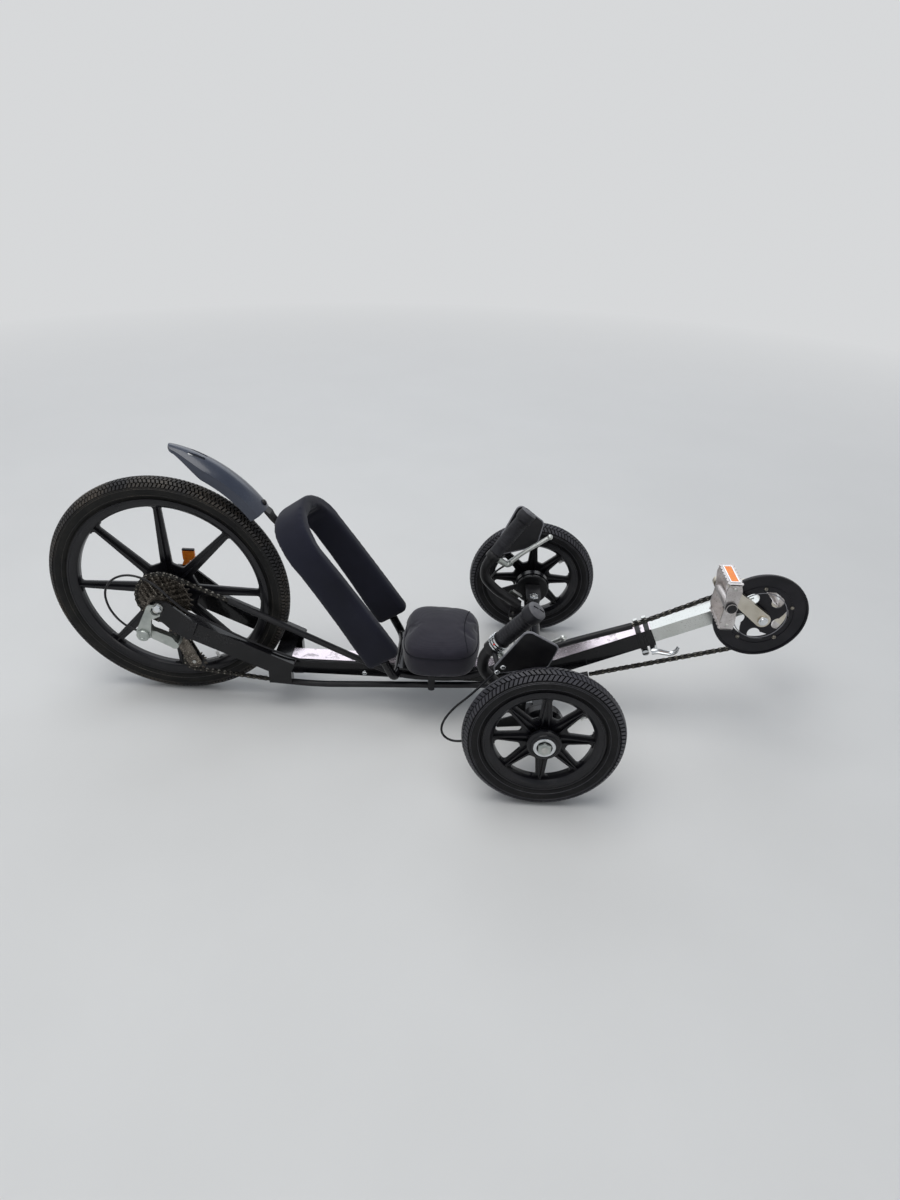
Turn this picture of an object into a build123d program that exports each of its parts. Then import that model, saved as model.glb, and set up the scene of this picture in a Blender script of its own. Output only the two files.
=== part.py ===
from build123d import *
import math
import os

os.makedirs("parts", exist_ok=True)

# A child's recumbent tricycle: two small steered wheels in front, one larger driven wheel behind, a low padded
# seat between them and the cranks out in front on a telescopic boom.
# All sizes are millimetres. Places are measured from the front axle line: x forward, y to the left, z up from
# the ground. SIDES lists the right side first, which carries the chain.
SIDES = {"right": -1, "left": 1}

# Wheels and stance
WHEELBASE = 771.0
FRONT_TRACK_HALF = 293.8
KINGPIN_INSET = 122.8
KINGPIN_Y = FRONT_TRACK_HALF - KINGPIN_INSET
CAMBER = 2.0
FRONT_TYRE_RADIUS = 150.0
FRONT_TYRE_SECTION = 21.7
FRONT_BEAD_SEAT = 101.5
FRONT_WINDOW_RADIUS = 92.0
REAR_TYRE_RADIUS = 250.0
REAR_TYRE_SECTION = 22.7
REAR_BEAD_SEAT = 203.0
REAR_WINDOW_RADIUS = 190.0
TYRE_FRONT_X = REAR_TYRE_RADIUS - WHEELBASE
REAR_AXLE = (-WHEELBASE, REAR_TYRE_RADIUS)
RIM_NECK_HALF = 13.2
RIM_WALL = 2.5
SPOKES = 8
SPOKE_WIDTH = 15.0
WEB_THICKNESS = 7.0
SEAT_GAP = 0.3
RUNNING_GAP = 0.1

# Boom and bottom bracket
BOOM_WIDTH = 38.0
BOOM_WALL = 2.7
BOOM_REAR_X = TYRE_FRONT_X - 4.0
BOOM_BOTTOM_Z = 62.0
BOOM_KINK_X = -20.0
BOOM_SLOPE = 25.0
BOOM_FRONT_X = 237.0
BRACKET_X = 428.0
BRACKET_Z = 284.0
BRACKET_SHELL_RADIUS = 20.0
BRACKET_HALF_WIDTH = 34.0
SLIDER_WIDTH = 32.0
SLIDER_WALL = 2.0
SLIDER_OVERLAP = 110.0

# Rear triangle
STAY_INNER_Y = 48.0
STAY_THICKNESS = 20.0
DROPOUT_INNER_Y = 74.0
DROPOUT_THICKNESS = 5.0
AXLE_RADIUS = 5.0
AXLE_HALF_LENGTH = 92.0

# Drive
CHAIN_PITCH = 12.7
CHAIN_Y = -41.0
CHAIN_PLATE_HEIGHT = 8.0
CHAIN_INNER_HALF = 1.9
CHAIN_OUTER_HALF = 3.5
ROLLER_RADIUS = 3.9
RING_TEETH = 36
COG_TEETH = [28, 24, 22, 20, 18, 16, 14]
COG_SPACING = 4.7
COG_THICKNESS = 2.2
PULLEY_TEETH = 11
GUIDE_PULLEY = (REAR_AXLE[0] + 21.0, REAR_AXLE[1] - 89.0)
TENSION_PULLEY = (REAR_AXLE[0] + 44.0, REAR_AXLE[1] - 152.0)
GUARD_RADIUS = 92.0
GUARD_INNER_Y = -48.5
GUARD_THICKNESS = 3.0
CRANK_LENGTH = 127.0
CRANK_ANGLE = 141.6
CRANK_INNER_Y = 58.0
CRANK_THICKNESS = 12.0
SPINDLE_RADIUS = 8.0
PEDAL_INNER_Y = 80.0
PEDAL_OUTER_Y = 158.0
PEDAL_LENGTH = 96.0
PEDAL_DEPTH = 28.0
PEDAL_SPINDLE_RADIUS = 7.0
TUBE_RADIUS = 6.8
TUBE_BORE = 5.8

# Seat
SEAT_HALF_WIDTH = 101.0
SEAT_BAND = 32.0
SEAT_TOP_RADIUS = 88.0
CUSHION_REAR_X = TYRE_FRONT_X + 242.0
CUSHION_FRONT_X = CUSHION_REAR_X + 144.0
CUSHION_HALF_WIDTH = 90.0
CUSHION_BOTTOM_Z = 125.0
CUSHION_TOP_Z = 180.0

# Steering
CROSS_ARM_RADIUS = 14.0
HEAD_RADIUS = 14.0
HEAD_BOTTOM_Z = 122.0
HEAD_TOP_Z = 159.0
PLATE_THICKNESS = 5.0
KNUCKLE_GAP = 1.0
KNUCKLE_HALF_WIDTH = 17.0
PLATE_END_RADIUS = 15.0
KINGPIN_RADIUS = 5.0
STEER_ARM = 45.0
TIE_ROD_Y = KINGPIN_Y
TIE_ROD_RADIUS = 4.0
TIE_PIN_RADIUS = 3.0
HANDLE_RADIUS = 11.0
GRIP_RADIUS = 16.0
STUB_RADIUS = 6.0
HUB_OUTER = 28.0
HUB_INNER = 45.0
HUB_RADIUS = 31.5
HUB_STANDOFF = 14.8
KNUCKLE_OUTER_Y = FRONT_TRACK_HALF - HUB_INNER - HUB_STANDOFF

# The crank side decides how far forward the vehicle reaches, and the origin is midway between its ends
FRONT_REACH = BRACKET_X + CRANK_LENGTH * math.cos(math.radians(180 - CRANK_ANGLE)) + PEDAL_DEPTH / 2
REAR_REACH = WHEELBASE + REAR_TYRE_RADIUS
ORIGIN_SHIFT = (REAR_REACH - FRONT_REACH) / 2

FRONT_RING = FRONT_TYRE_RADIUS - FRONT_TYRE_SECTION
FRONT_AXLE_Z = FRONT_RING * math.cos(math.radians(CAMBER)) + FRONT_TYRE_SECTION

nodes = {}


def by_axle(points):
    """Places (x, z) points that are measured from the rear axle."""
    return [(REAR_AXLE[0] + x, REAR_AXLE[1] + z) for x, z in points]


def by_tyre(points):
    """Places (x, z) points whose x is measured from the rear tyre's foremost point, and z from the ground."""
    return [(TYRE_FRONT_X + x, z) for x, z in points]


def side_shape(points, y_low, y_high, radii=0.0):
    """A plate seen from the side: an outline of (x, z) points, with its corners rounded, from y_low to y_high."""
    outline = Polygon(*points, align=None) if radii == 0 else make_face(
        FilletPolyline(*points, radius=radii, close=True))
    placed = Plane.XZ.offset(-y_low) * outline
    return extrude(placed, amount=y_high - y_low, dir=(0, 1, 0))


def rod(start, end, radius):
    """A round bar between two points."""
    low, high = Vector(*start), Vector(*end)
    length = (high - low).length
    return Plane(origin=low, z_dir=high - low) * Cylinder(
        radius, length, align=(Align.CENTER, Align.CENTER, Align.MIN))


def turned(profile, start, direction):
    """A turned piece: its profile is (radius, height along the axis) points."""
    spun = revolve(Plane.XZ * Polygon(*profile, align=None), Axis.Z)
    return Plane(origin=start, z_dir=direction) * spun


def route(points, share=0.45):
    """A path of straight runs joined by arcs as large as the runs allow."""
    spots = [Vector(*p) for p in points]
    radii = []
    for before, here, after in zip(spots, spots[1:], spots[2:]):
        turn = math.radians((here - before).get_angle(after - here))
        shorter = min((here - before).length, (after - here).length)
        radii.append(share * shorter / math.tan(turn / 2))
    return FilletPolyline(*points, radius=radii)


def tube(points, radius, bore=0.0):
    """A round tube along a route."""
    path = route(points)
    start = Plane(origin=path @ 0, z_dir=path % 0)
    shape = sweep(start * Circle(radius), path=path)
    if bore > 0:
        shape -= sweep(start * Circle(bore), path=path)
    return shape


def mag_rim(ring, section, bead_seat, window, hub_profile, boss_half, bore):
    """A moulded wheel about its own z axis: a channel rim, ribbed spokes and a turned hub."""
    flange_half = RIM_NECK_HALF + SEAT_GAP
    flange_top = ring - math.sqrt(section ** 2 - flange_half ** 2) - SEAT_GAP
    outer_half = flange_half + RIM_WALL
    floor = bead_seat - SEAT_GAP
    channel = [(window, -outer_half + 6), (window + 5, -outer_half), (flange_top, -outer_half),
               (flange_top, -flange_half), (floor, -flange_half), (floor, flange_half),
               (flange_top, flange_half), (flange_top, outer_half), (window + 5, outer_half),
               (window, outer_half - 6)]
    wheel = turned(channel, (0, 0, 0), (0, 0, 1))
    hub_radius = max(radius for radius, height in hub_profile)
    half_turn = math.pi / SPOKES
    inner_apex = (hub_radius + 7) / math.cos(half_turn)
    gap = SPOKE_WIDTH / 2
    lean = half_turn - math.asin(gap / window)
    apex = gap / math.sin(half_turn)
    apex_x = max(apex, inner_apex * 0.98)
    apex_half = (apex_x - apex) * math.tan(half_turn) + 2.0
    corner_x, corner_y = window * math.cos(lean), window * math.sin(lean)
    arch = ThreePointArc((corner_x, -corner_y), (window, 0), (corner_x, corner_y))
    sides = Polyline((corner_x, corner_y), (apex_x, apex_half), (apex_x, -apex_half), (corner_x, -corner_y))
    opening = make_face(Curve() + [arch, sides])
    opening = fillet(opening.vertices(), min(9.0, apex_half * 0.8))
    web = Circle(window + 1) - PolarLocations(0, SPOKES, start_angle=180 / SPOKES) * opening
    wheel += extrude(web, amount=WEB_THICKNESS / 2, both=True)
    rib = Polygon((hub_radius - 2, -boss_half), (window + 1, -outer_half + 8),
                  (window + 1, outer_half - 8), (hub_radius - 2, boss_half), align=None)
    one_rib = extrude(Plane.XZ * rib, amount=2.4, both=True)
    for step in range(SPOKES):
        wheel += Rot(0, 0, 360 / SPOKES * step) * one_rib
    wheel += turned(hub_profile, (0, 0, 0), (0, 0, 1))
    return wheel - Cylinder(bore, 4 * boss_half + 300)


def round_tyre(ring, section, bead_seat):
    """A tyre about its own z axis: a round casing closed by a straight neck that sits in the rim."""
    casing = Pos(ring, 0) * Circle(section)
    neck = Pos((ring + bead_seat) / 2, 0) * Rectangle(ring - bead_seat, 2 * RIM_NECK_HALF)
    profile = casing + neck
    profile -= Pos(bead_seat / 2, 0) * Rectangle(bead_seat, 4 * section)
    return revolve(Plane.XZ * profile, Axis.Z)


def toothed(teeth, thickness, bore=0.0):
    """A sprocket plate about its own z axis, with a gap between teeth at angle zero."""
    pitch_radius = CHAIN_PITCH / (2 * math.sin(math.pi / teeth))
    root = pitch_radius - ROLLER_RADIUS - SEAT_GAP
    tip = pitch_radius + 3.6
    flank = [(root, -3.0), (pitch_radius, -1.9), (tip, -0.9), (tip, 0.9), (pitch_radius, 1.9), (root, 3.0)]
    outline = []
    for index in range(teeth):
        turn = 2 * math.pi * (index + 0.5) / teeth
        outline += [(radius * math.cos(turn) - offset * math.sin(turn),
                     radius * math.sin(turn) + offset * math.cos(turn)) for radius, offset in flank]
    plate = make_face(Polyline(*outline, close=True))
    if bore > 0:
        plate -= Circle(bore)
    return extrude(plate, amount=thickness / 2, both=True)


def across(shape, x, y, z, spin=0.0):
    """Stands a piece that was made about the z axis so that its axis runs along y, at (x, y, z)."""
    return Pos(x, y, z) * Rot(90, 0, 0) * Rot(0, 0, spin) * shape


# Boom: a black square tube, level under the seat and kinked upwards in front of it
slope = math.tan(math.radians(BOOM_SLOPE))
boom_mid_z = BOOM_BOTTOM_Z + BOOM_WIDTH / 2
half_turn_shift = math.tan(math.radians(BOOM_SLOPE / 2))
boom_direction = Vector(math.cos(math.radians(BOOM_SLOPE)), 0, math.sin(math.radians(BOOM_SLOPE)))


def boom_profile(half, front_x, rear_x=BOOM_REAR_X):
    """Side outline of the kinked boom, at a distance from its centre line."""
    kink_low, kink_high = BOOM_KINK_X + half * half_turn_shift, BOOM_KINK_X - half * half_turn_shift
    low = boom_mid_z - half
    high = boom_mid_z + half
    run = front_x - BOOM_KINK_X
    across_end = half * math.sin(math.radians(BOOM_SLOPE))
    end_z = boom_mid_z + run * slope
    rise = half * math.cos(math.radians(BOOM_SLOPE))
    return [(rear_x, low), (kink_low, low), (front_x + across_end, end_z - rise),
            (front_x - across_end, end_z + rise), (kink_high, high), (rear_x, high)]


boom_half = BOOM_WIDTH / 2
main_boom = side_shape(boom_profile(boom_half, BOOM_FRONT_X), -boom_half, boom_half)
inner_half = boom_half - BOOM_WALL
main_boom -= side_shape(boom_profile(inner_half, BOOM_FRONT_X + 30, BOOM_REAR_X + BOOM_WALL),
                        -inner_half, inner_half)
nodes["main_boom"] = main_boom


def boom_point(x, above=0.0):
    """A point on the rising boom's centre line, moved square to it."""
    normal = Vector(-boom_direction.Z, 0, boom_direction.X)
    return Vector(x, 0, boom_mid_z + (x - BOOM_KINK_X) * slope) + normal * above


# Front boom: a bare square tube that slides in the main one and carries the bottom bracket shell
slider_half = SLIDER_WIDTH / 2
slider_start = boom_point(BOOM_FRONT_X) - boom_direction * SLIDER_OVERLAP
slider_length = (boom_point(BRACKET_X) - slider_start).length
slider_plane = Plane(origin=slider_start, x_dir=(0, 1, 0), z_dir=boom_direction)
slider = slider_plane * (Box(SLIDER_WIDTH, SLIDER_WIDTH, slider_length,
                             align=(Align.CENTER, Align.CENTER, Align.MIN))
                         - Box(SLIDER_WIDTH - 2 * SLIDER_WALL, SLIDER_WIDTH - 2 * SLIDER_WALL, slider_length,
                               align=(Align.CENTER, Align.CENTER, Align.MIN)))
shell = rod((BRACKET_X, -BRACKET_HALF_WIDTH, BRACKET_Z), (BRACKET_X, BRACKET_HALF_WIDTH, BRACKET_Z),
            BRACKET_SHELL_RADIUS)
slider = slider + shell
slider -= rod((BRACKET_X, -BRACKET_HALF_WIDTH - 1, BRACKET_Z), (BRACKET_X, BRACKET_HALF_WIDTH + 1, BRACKET_Z),
              SPINDLE_RADIUS + RUNNING_GAP)
nodes["front_boom"] = slider

# Boom clamp: a collar round the open end of the main boom, with a quick-release lever below it
collar_start = boom_point(BOOM_FRONT_X) - boom_direction * 34
collar_plane = Plane(origin=collar_start, x_dir=(0, 1, 0), z_dir=boom_direction)
collar_width = BOOM_WIDTH + 2 * SEAT_GAP
collar = collar_plane * (Box(collar_width + 8, collar_width + 8, 28, align=(Align.CENTER, Align.CENTER, Align.MIN))
                         - Box(collar_width, collar_width, 28, align=(Align.CENTER, Align.CENTER, Align.MIN)))
clamp_drop = boom_half + SEAT_GAP + 4
ear_centre = boom_point(BOOM_FRONT_X, -clamp_drop - 8) - boom_direction * 20
ears = Plane(origin=ear_centre, x_dir=(0, 1, 0), z_dir=boom_direction) * (
    Pos(-9, 0, 0) * Box(5, 16.6, 18) + Pos(9, 0, 0) * Box(5, 16.6, 18))
clamp_pin = rod(ear_centre + Vector(0, -26, 0), ear_centre + Vector(0, 18, 0), 4.0)
lever_start = ear_centre + Vector(0, -22, 0)
lever = rod(lever_start, lever_start + boom_direction * 52 + Vector(0, -4, -2), 4.5)
nodes["boom_clamp"] = collar + ears + clamp_pin + lever

# Cross member: two arms that meet over the boom and rise to the upright head tubes that hold the kingpins
cross = None
for side in SIDES.values():
    arm = rod((0, 0, 101.7), (0, side * (KINGPIN_Y - 2), 140.0), CROSS_ARM_RADIUS)
    arm -= side_shape(boom_profile(boom_half, BOOM_FRONT_X), -boom_half, boom_half)
    head = rod((0, side * KINGPIN_Y, HEAD_BOTTOM_Z), (0, side * KINGPIN_Y, HEAD_TOP_Z), HEAD_RADIUS)
    joined = (arm + head) - rod((0, side * KINGPIN_Y, HEAD_BOTTOM_Z - 5), (0, side * KINGPIN_Y, HEAD_TOP_Z + 5),
                                KINGPIN_RADIUS + RUNNING_GAP)
    cross = joined if cross is None else cross + joined
nodes["cross_member"] = cross

# Rear frame: a cross box behind the boom, and a stay with a dropout plate on each side
CROSS_BOX = 38.0
STAY_POINTS = [(BOOM_REAR_X, 80.0), (BOOM_REAR_X + 20, 117.0)] + by_axle([(45.0, -29.0), (23.0, -67.0)])
STAY_FOOT = [(BOOM_REAR_X - CROSS_BOX, 68.0), (BOOM_REAR_X + 10, 68.0), (BOOM_REAR_X + 10, 108.0),
             (BOOM_REAR_X - CROSS_BOX, 135.0)]
STAY_WEB = by_axle([(29.0, -60.0), (49.0, -24.0), (71.0, -38.0), (53.0, -72.0)])
DROPOUT_TOP = 14.0
DROPOUT = by_axle([(55.0, -78.0), (75.0, -36.0), (19.0, DROPOUT_TOP), (-15.0, DROPOUT_TOP), (-15.0, -14.0),
                   (21.0, -54.0)])
box_low_z = BOOM_BOTTOM_Z + 1
cross_box = side_shape([(BOOM_REAR_X - CROSS_BOX, box_low_z), (BOOM_REAR_X, box_low_z),
                        (BOOM_REAR_X, box_low_z + CROSS_BOX), (BOOM_REAR_X - CROSS_BOX, box_low_z + CROSS_BOX)],
                       -STAY_INNER_Y, STAY_INNER_Y)
nodes["rear_cross_tube"] = cross_box
for name, side in SIDES.items():
    stay_outer_y = STAY_INNER_Y + STAY_THICKNESS
    plate_outer_y = DROPOUT_INNER_Y + DROPOUT_THICKNESS
    low, high = sorted((side * STAY_INNER_Y, side * stay_outer_y))
    stay = side_shape(STAY_POINTS, low, high, 5.0)
    stay += side_shape(STAY_FOOT, low, high)
    stay += side_shape(STAY_WEB, *sorted((side * stay_outer_y, side * (DROPOUT_INNER_Y + 1))))
    dropout = side_shape(DROPOUT, *sorted((side * DROPOUT_INNER_Y, side * plate_outer_y)), 7.0)
    slot = rod((REAR_AXLE[0], -plate_outer_y - 1, REAR_AXLE[1]), (REAR_AXLE[0], plate_outer_y + 1, REAR_AXLE[1]),
               AXLE_RADIUS + SEAT_GAP)
    nodes[f"chainstay_{name}"] = stay + (dropout - slot)

# Rear axle with its nuts and spacers
axle = rod((REAR_AXLE[0], -AXLE_HALF_LENGTH, REAR_AXLE[1]), (REAR_AXLE[0], AXLE_HALF_LENGTH, REAR_AXLE[1]),
           AXLE_RADIUS)
for side in SIDES.values():
    nut_inner = side * (DROPOUT_INNER_Y + DROPOUT_THICKNESS)
    nut = extrude(RegularPolygon(8.5, 6), amount=7) + Pos(0, 0, 0.8) * Cylinder(11, 1.6)
    axle += Plane(origin=(REAR_AXLE[0], nut_inner, REAR_AXLE[1]), z_dir=(0, side, 0)) * nut
axle += rod((REAR_AXLE[0], DROPOUT_INNER_Y - 5, REAR_AXLE[1]), (REAR_AXLE[0], DROPOUT_INNER_Y, REAR_AXLE[1]), 9.0)
nodes["rear_axle"] = axle


def rear_place(shape, x=0.0):
    return across(shape, REAR_AXLE[0], x, REAR_AXLE[1])


# Rear wheel
REAR_HUB = [(AXLE_RADIUS + RUNNING_GAP, -66), (13, -66), (15, -40), (30, -12), (30, 12), (20, 33),
            (AXLE_RADIUS + RUNNING_GAP, 33)]
rear_ring = REAR_TYRE_RADIUS - REAR_TYRE_SECTION
nodes["rim_rear"] = rear_place(mag_rim(rear_ring, REAR_TYRE_SECTION, REAR_BEAD_SEAT, REAR_WINDOW_RADIUS,
                                       REAR_HUB, 10.0, AXLE_RADIUS + RUNNING_GAP))
nodes["tyre_rear"] = rear_place(round_tyre(rear_ring, REAR_TYRE_SECTION, REAR_BEAD_SEAT))


# Chain path helpers: circles are (x, z, radius, sense), sense 1 for counter-clockwise travel seen from the right
def tangent(first, second):
    """End points of the straight run from one circle to the next."""
    dx, dz = second[0] - first[0], second[1] - first[1]
    far = math.hypot(dx, dz)
    shift = second[3] * second[2] - first[3] * first[2]
    angle = math.atan2(dz, dx) - math.asin(shift / far)
    normal = (-math.sin(angle), math.cos(angle))
    start = (first[0] - first[3] * first[2] * normal[0], first[1] - first[3] * first[2] * normal[1])
    end = (second[0] - second[3] * second[2] * normal[0], second[1] - second[3] * second[2] * normal[1])
    return start, end


def chain_path(circles):
    """Runs and arcs of a chain, each as a kind, its length and a function from length to a point."""
    pieces = []
    runs = [tangent(a, b) for a, b in zip(circles, circles[1:])]
    for index, (start, end) in enumerate(runs):
        length = math.hypot(end[0] - start[0], end[1] - start[1])
        pieces.append(("run", length, start, end))
        if index + 1 < len(runs):
            x, z, radius, sense = circles[index + 1]
            begin = math.atan2(end[1] - z, end[0] - x)
            stop = math.atan2(runs[index + 1][0][1] - z, runs[index + 1][0][0] - x)
            sweep_angle = (stop - begin) * sense % (2 * math.pi)
            pieces.append(("arc", radius * sweep_angle, (x, z, radius, sense), (begin, sweep_angle)))
    return pieces


def along(pieces, distance):
    """The point at a distance along a chain path."""
    for kind, length, first, second in pieces:
        if distance <= length or (kind, length, first, second) == pieces[-1]:
            share = distance / length
            if kind == "run":
                return (first[0] + (second[0] - first[0]) * share, first[1] + (second[1] - first[1]) * share)
            angle = second[0] + first[3] * second[1] * share
            return (first[0] + first[2] * math.cos(angle), first[1] + first[2] * math.sin(angle))
        distance -= length


def chain_band(pieces, y_low, y_high):
    """A strip as high as the chain's plates along its whole path."""
    band = None
    for kind, length, first, second in pieces:
        if kind == "run":
            line = Line((first[0], first[1]), (second[0], second[1]))
        else:
            x, z, radius, sense = first
            begin, turn = second
            points = [(x + radius * math.cos(begin + sense * turn * share),
                       z + radius * math.sin(begin + sense * turn * share)) for share in (0, 0.5, 1)]
            line = ThreePointArc(*points)
        face = trace(line, CHAIN_PLATE_HEIGHT)
        band = face if band is None else band + face
    return extrude(Plane.XZ.offset(-y_low) * band, amount=y_high - y_low, dir=(0, 1, 0))


def chain_stretch(circles, middle):
    """A stretch of chain: side plates on both sides and a roller at each pitch, one of them at path length middle."""
    pieces = chain_path(circles)
    total = sum(piece[1] for piece in pieces)
    stretch = chain_band(pieces, CHAIN_Y - CHAIN_OUTER_HALF, CHAIN_Y - CHAIN_INNER_HALF)
    stretch += chain_band(pieces, CHAIN_Y + CHAIN_INNER_HALF, CHAIN_Y + CHAIN_OUTER_HALF)
    first = middle % CHAIN_PITCH
    count = int((total - first) / CHAIN_PITCH) + 1
    roller = Plane.XZ * RegularPolygon(ROLLER_RADIUS, 6)
    roller = extrude(roller, amount=CHAIN_INNER_HALF + 0.4, both=True)
    spots = [along(pieces, first + CHAIN_PITCH * index) for index in range(count)]
    rollers = [Pos(x, CHAIN_Y, z) * roller for x, z in spots
               if min(math.dist((x, z), along(pieces, 0)), math.dist((x, z), along(pieces, total))) > 4.5]
    return stretch + rollers


ring_pitch = CHAIN_PITCH / (2 * math.sin(math.pi / RING_TEETH))
cog_pitch = CHAIN_PITCH / (2 * math.sin(math.pi / COG_TEETH[0]))
pulley_pitch = CHAIN_PITCH / (2 * math.sin(math.pi / PULLEY_TEETH))

# Chain tubes, as (x, z) points in the chain's plane, rear end first
UPPER_TUBE = by_axle([(133.0, 2.0)]) + by_tyre([(137.0, 126.0), (231.0, 84.0)]) + [
    (-150.0, 84.0), (-40.0, 142.0), (47.0, 186.0), (184.0, 239.0)]
LOWER_TUBE = by_tyre([(-41.0, 56.0), (51.0, 50.0), (191.0, 58.0)]) + [
    (-188.0, 65.0), (-30.0, 76.0), (40.0, 90.0), (110.0, 112.0)]
for name, points in (("chain_tube_upper", UPPER_TUBE), ("chain_tube_lower", LOWER_TUBE)):
    nodes[name] = tube([(x, CHAIN_Y, z) for x, z in points], TUBE_RADIUS, TUBE_BORE)

ENTRY = 5.0


def inside(mouth, next_point):
    """A point just inside a tube's mouth."""
    direction = Vector(next_point[0] - mouth[0], next_point[1] - mouth[1]).normalized()
    return (mouth[0] + direction.X * ENTRY, mouth[1] + direction.Y * ENTRY)


upper_front = inside(UPPER_TUBE[-1], UPPER_TUBE[-2])
lower_front = inside(LOWER_TUBE[-1], LOWER_TUBE[-2])
front_circles = [(*upper_front, 0.0, 1), (BRACKET_X, BRACKET_Z, ring_pitch, -1), (*lower_front, 0.0, 1)]
front_pieces = chain_path(front_circles)
front_middle = front_pieces[0][1] + front_pieces[1][1] / 2
ring_angle = math.degrees(front_pieces[1][3][0] - front_pieces[1][3][1] / 2)
upper_rear = inside(UPPER_TUBE[0], UPPER_TUBE[1])
lower_rear = inside(LOWER_TUBE[0], LOWER_TUBE[1])
rear_circles = [(*upper_rear, 0.0, 1), (*REAR_AXLE, cog_pitch, 1), (*GUIDE_PULLEY, pulley_pitch, -1),
                (*TENSION_PULLEY, pulley_pitch, 1), (*lower_rear, 0.0, 1)]
rear_pieces = chain_path(rear_circles)
rear_middle = rear_pieces[0][1] + rear_pieces[1][1] / 2
cog_angle = math.degrees(rear_pieces[1][3][0] + rear_pieces[1][3][1] / 2)
nodes["chain"] = chain_stretch(front_circles, front_middle) + chain_stretch(rear_circles, rear_middle)

# Freewheel: seven sprockets on one body round the axle
freewheel = rod((REAR_AXLE[0], CHAIN_Y + 3, REAR_AXLE[1]), (REAR_AXLE[0], -DROPOUT_INNER_Y, REAR_AXLE[1]), 9.0)
freewheel += rod((REAR_AXLE[0], CHAIN_Y + 3, REAR_AXLE[1]),
                 (REAR_AXLE[0], CHAIN_Y - COG_SPACING * 6 - 2, REAR_AXLE[1]), 20.0)
for index, teeth in enumerate(COG_TEETH):
    freewheel += across(toothed(teeth, COG_THICKNESS), REAR_AXLE[0], CHAIN_Y - COG_SPACING * index,
                        REAR_AXLE[1], cog_angle)
freewheel -= rod((REAR_AXLE[0], CHAIN_Y + 5, REAR_AXLE[1]), (REAR_AXLE[0], -DROPOUT_INNER_Y - 1, REAR_AXLE[1]),
                 AXLE_RADIUS + SEAT_GAP)
nodes["freewheel"] = freewheel


# Derailleur: a knuckle on a hanger arm behind the axle, a link forward and a cage with two toothed pulleys
def pulley_phase(which):
    """Angle of a chain roller on a pulley, nearest to the middle of the wrapped arc."""
    kind, length, circle, (begin, turn) = rear_pieces[which]
    before = sum(piece[1] for piece in rear_pieces[:which])
    steps = round((before + length / 2 - rear_middle) / CHAIN_PITCH)
    distance = rear_middle + steps * CHAIN_PITCH - before
    return math.degrees(begin + circle[3] * distance / circle[2])


HANGER = by_axle([(7.0, 12.0), (-15.0, 12.0), (-47.0, -50.0), (-35.0, -70.0), (-19.0, -64.0), (-11.0, -20.0),
                  (9.0, -10.0)])
KNUCKLE_BOSS = by_axle([(-33.0, -57.0)])[0]
LINK = by_axle([(-35.0, -68.0), (-35.0, -47.0), (19.0, -70.0), (27.0, -88.0), (13.0, -94.0)])
hanger = side_shape(HANGER, -DROPOUT_INNER_Y - DROPOUT_THICKNESS - 15,
                    -DROPOUT_INNER_Y - DROPOUT_THICKNESS - 9, 4.0)
knuckle_boss = rod((KNUCKLE_BOSS[0], -DROPOUT_INNER_Y - DROPOUT_THICKNESS - 16, KNUCKLE_BOSS[1]),
                   (KNUCKLE_BOSS[0], -64, KNUCKLE_BOSS[1]), 12.0)
link = side_shape(LINK, -80, -66, 5.0)
cage_boss = rod((GUIDE_PULLEY[0], -80, GUIDE_PULLEY[1]), (GUIDE_PULLEY[0], -48.5, GUIDE_PULLEY[1]), 9.0)
hanger -= rod((REAR_AXLE[0], -110, REAR_AXLE[1]), (REAR_AXLE[0], -60, REAR_AXLE[1]), 9.6)
nodes["derailleur_body"] = hanger + knuckle_boss + link + cage_boss
cage_line = [GUIDE_PULLEY, TENSION_PULLEY]
cage = None
for y_low, y_high in ((-48.0, -46.0), (-36.0, -34.0)):
    plate = Plane.XZ.offset(-y_low) * make_hull([Pos(*GUIDE_PULLEY) * Circle(13).edge(),
                                                 Pos(*TENSION_PULLEY) * Circle(15).edge()])
    plate = extrude(plate, amount=y_high - y_low, dir=(0, 1, 0))
    cage = plate if cage is None else cage + plate
for which, (x, z) in ((3, GUIDE_PULLEY), (5, TENSION_PULLEY)):
    cage += across(toothed(PULLEY_TEETH, COG_THICKNESS), x, CHAIN_Y, z, pulley_phase(which))
    cage += rod((x, -46, z), (x, -36, z), 6.0)
nodes["derailleur_cage"] = cage

# Chainring with the guard disc in front of it
ring_plate = across(toothed(RING_TEETH, COG_THICKNESS, 56.0), BRACKET_X, CHAIN_Y, BRACKET_Z, ring_angle)
for index in range(5):
    angle = math.radians(72 * index + 20)
    x, z = BRACKET_X + 61.5 * math.cos(angle), BRACKET_Z + 61.5 * math.sin(angle)
    ring_plate += rod((x, GUARD_INNER_Y, z), (x, CHAIN_Y, z), 4.5)
nodes["chainring"] = ring_plate


def comma(angle):
    """One comma-shaped opening of the guard disc, its round head at an angle and its tail behind."""
    def polar(radius, turn):
        at = math.radians(angle + turn)
        return (radius * math.cos(at), radius * math.sin(at))
    tail = Polygon(polar(54.5, 2), polar(57, 22), polar(54, 42), polar(45, 30), polar(38, 16), polar(34, 0),
                   align=None)
    shape = Pos(*polar(42, 0)) * Circle(12.5) + tail
    return shape


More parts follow.
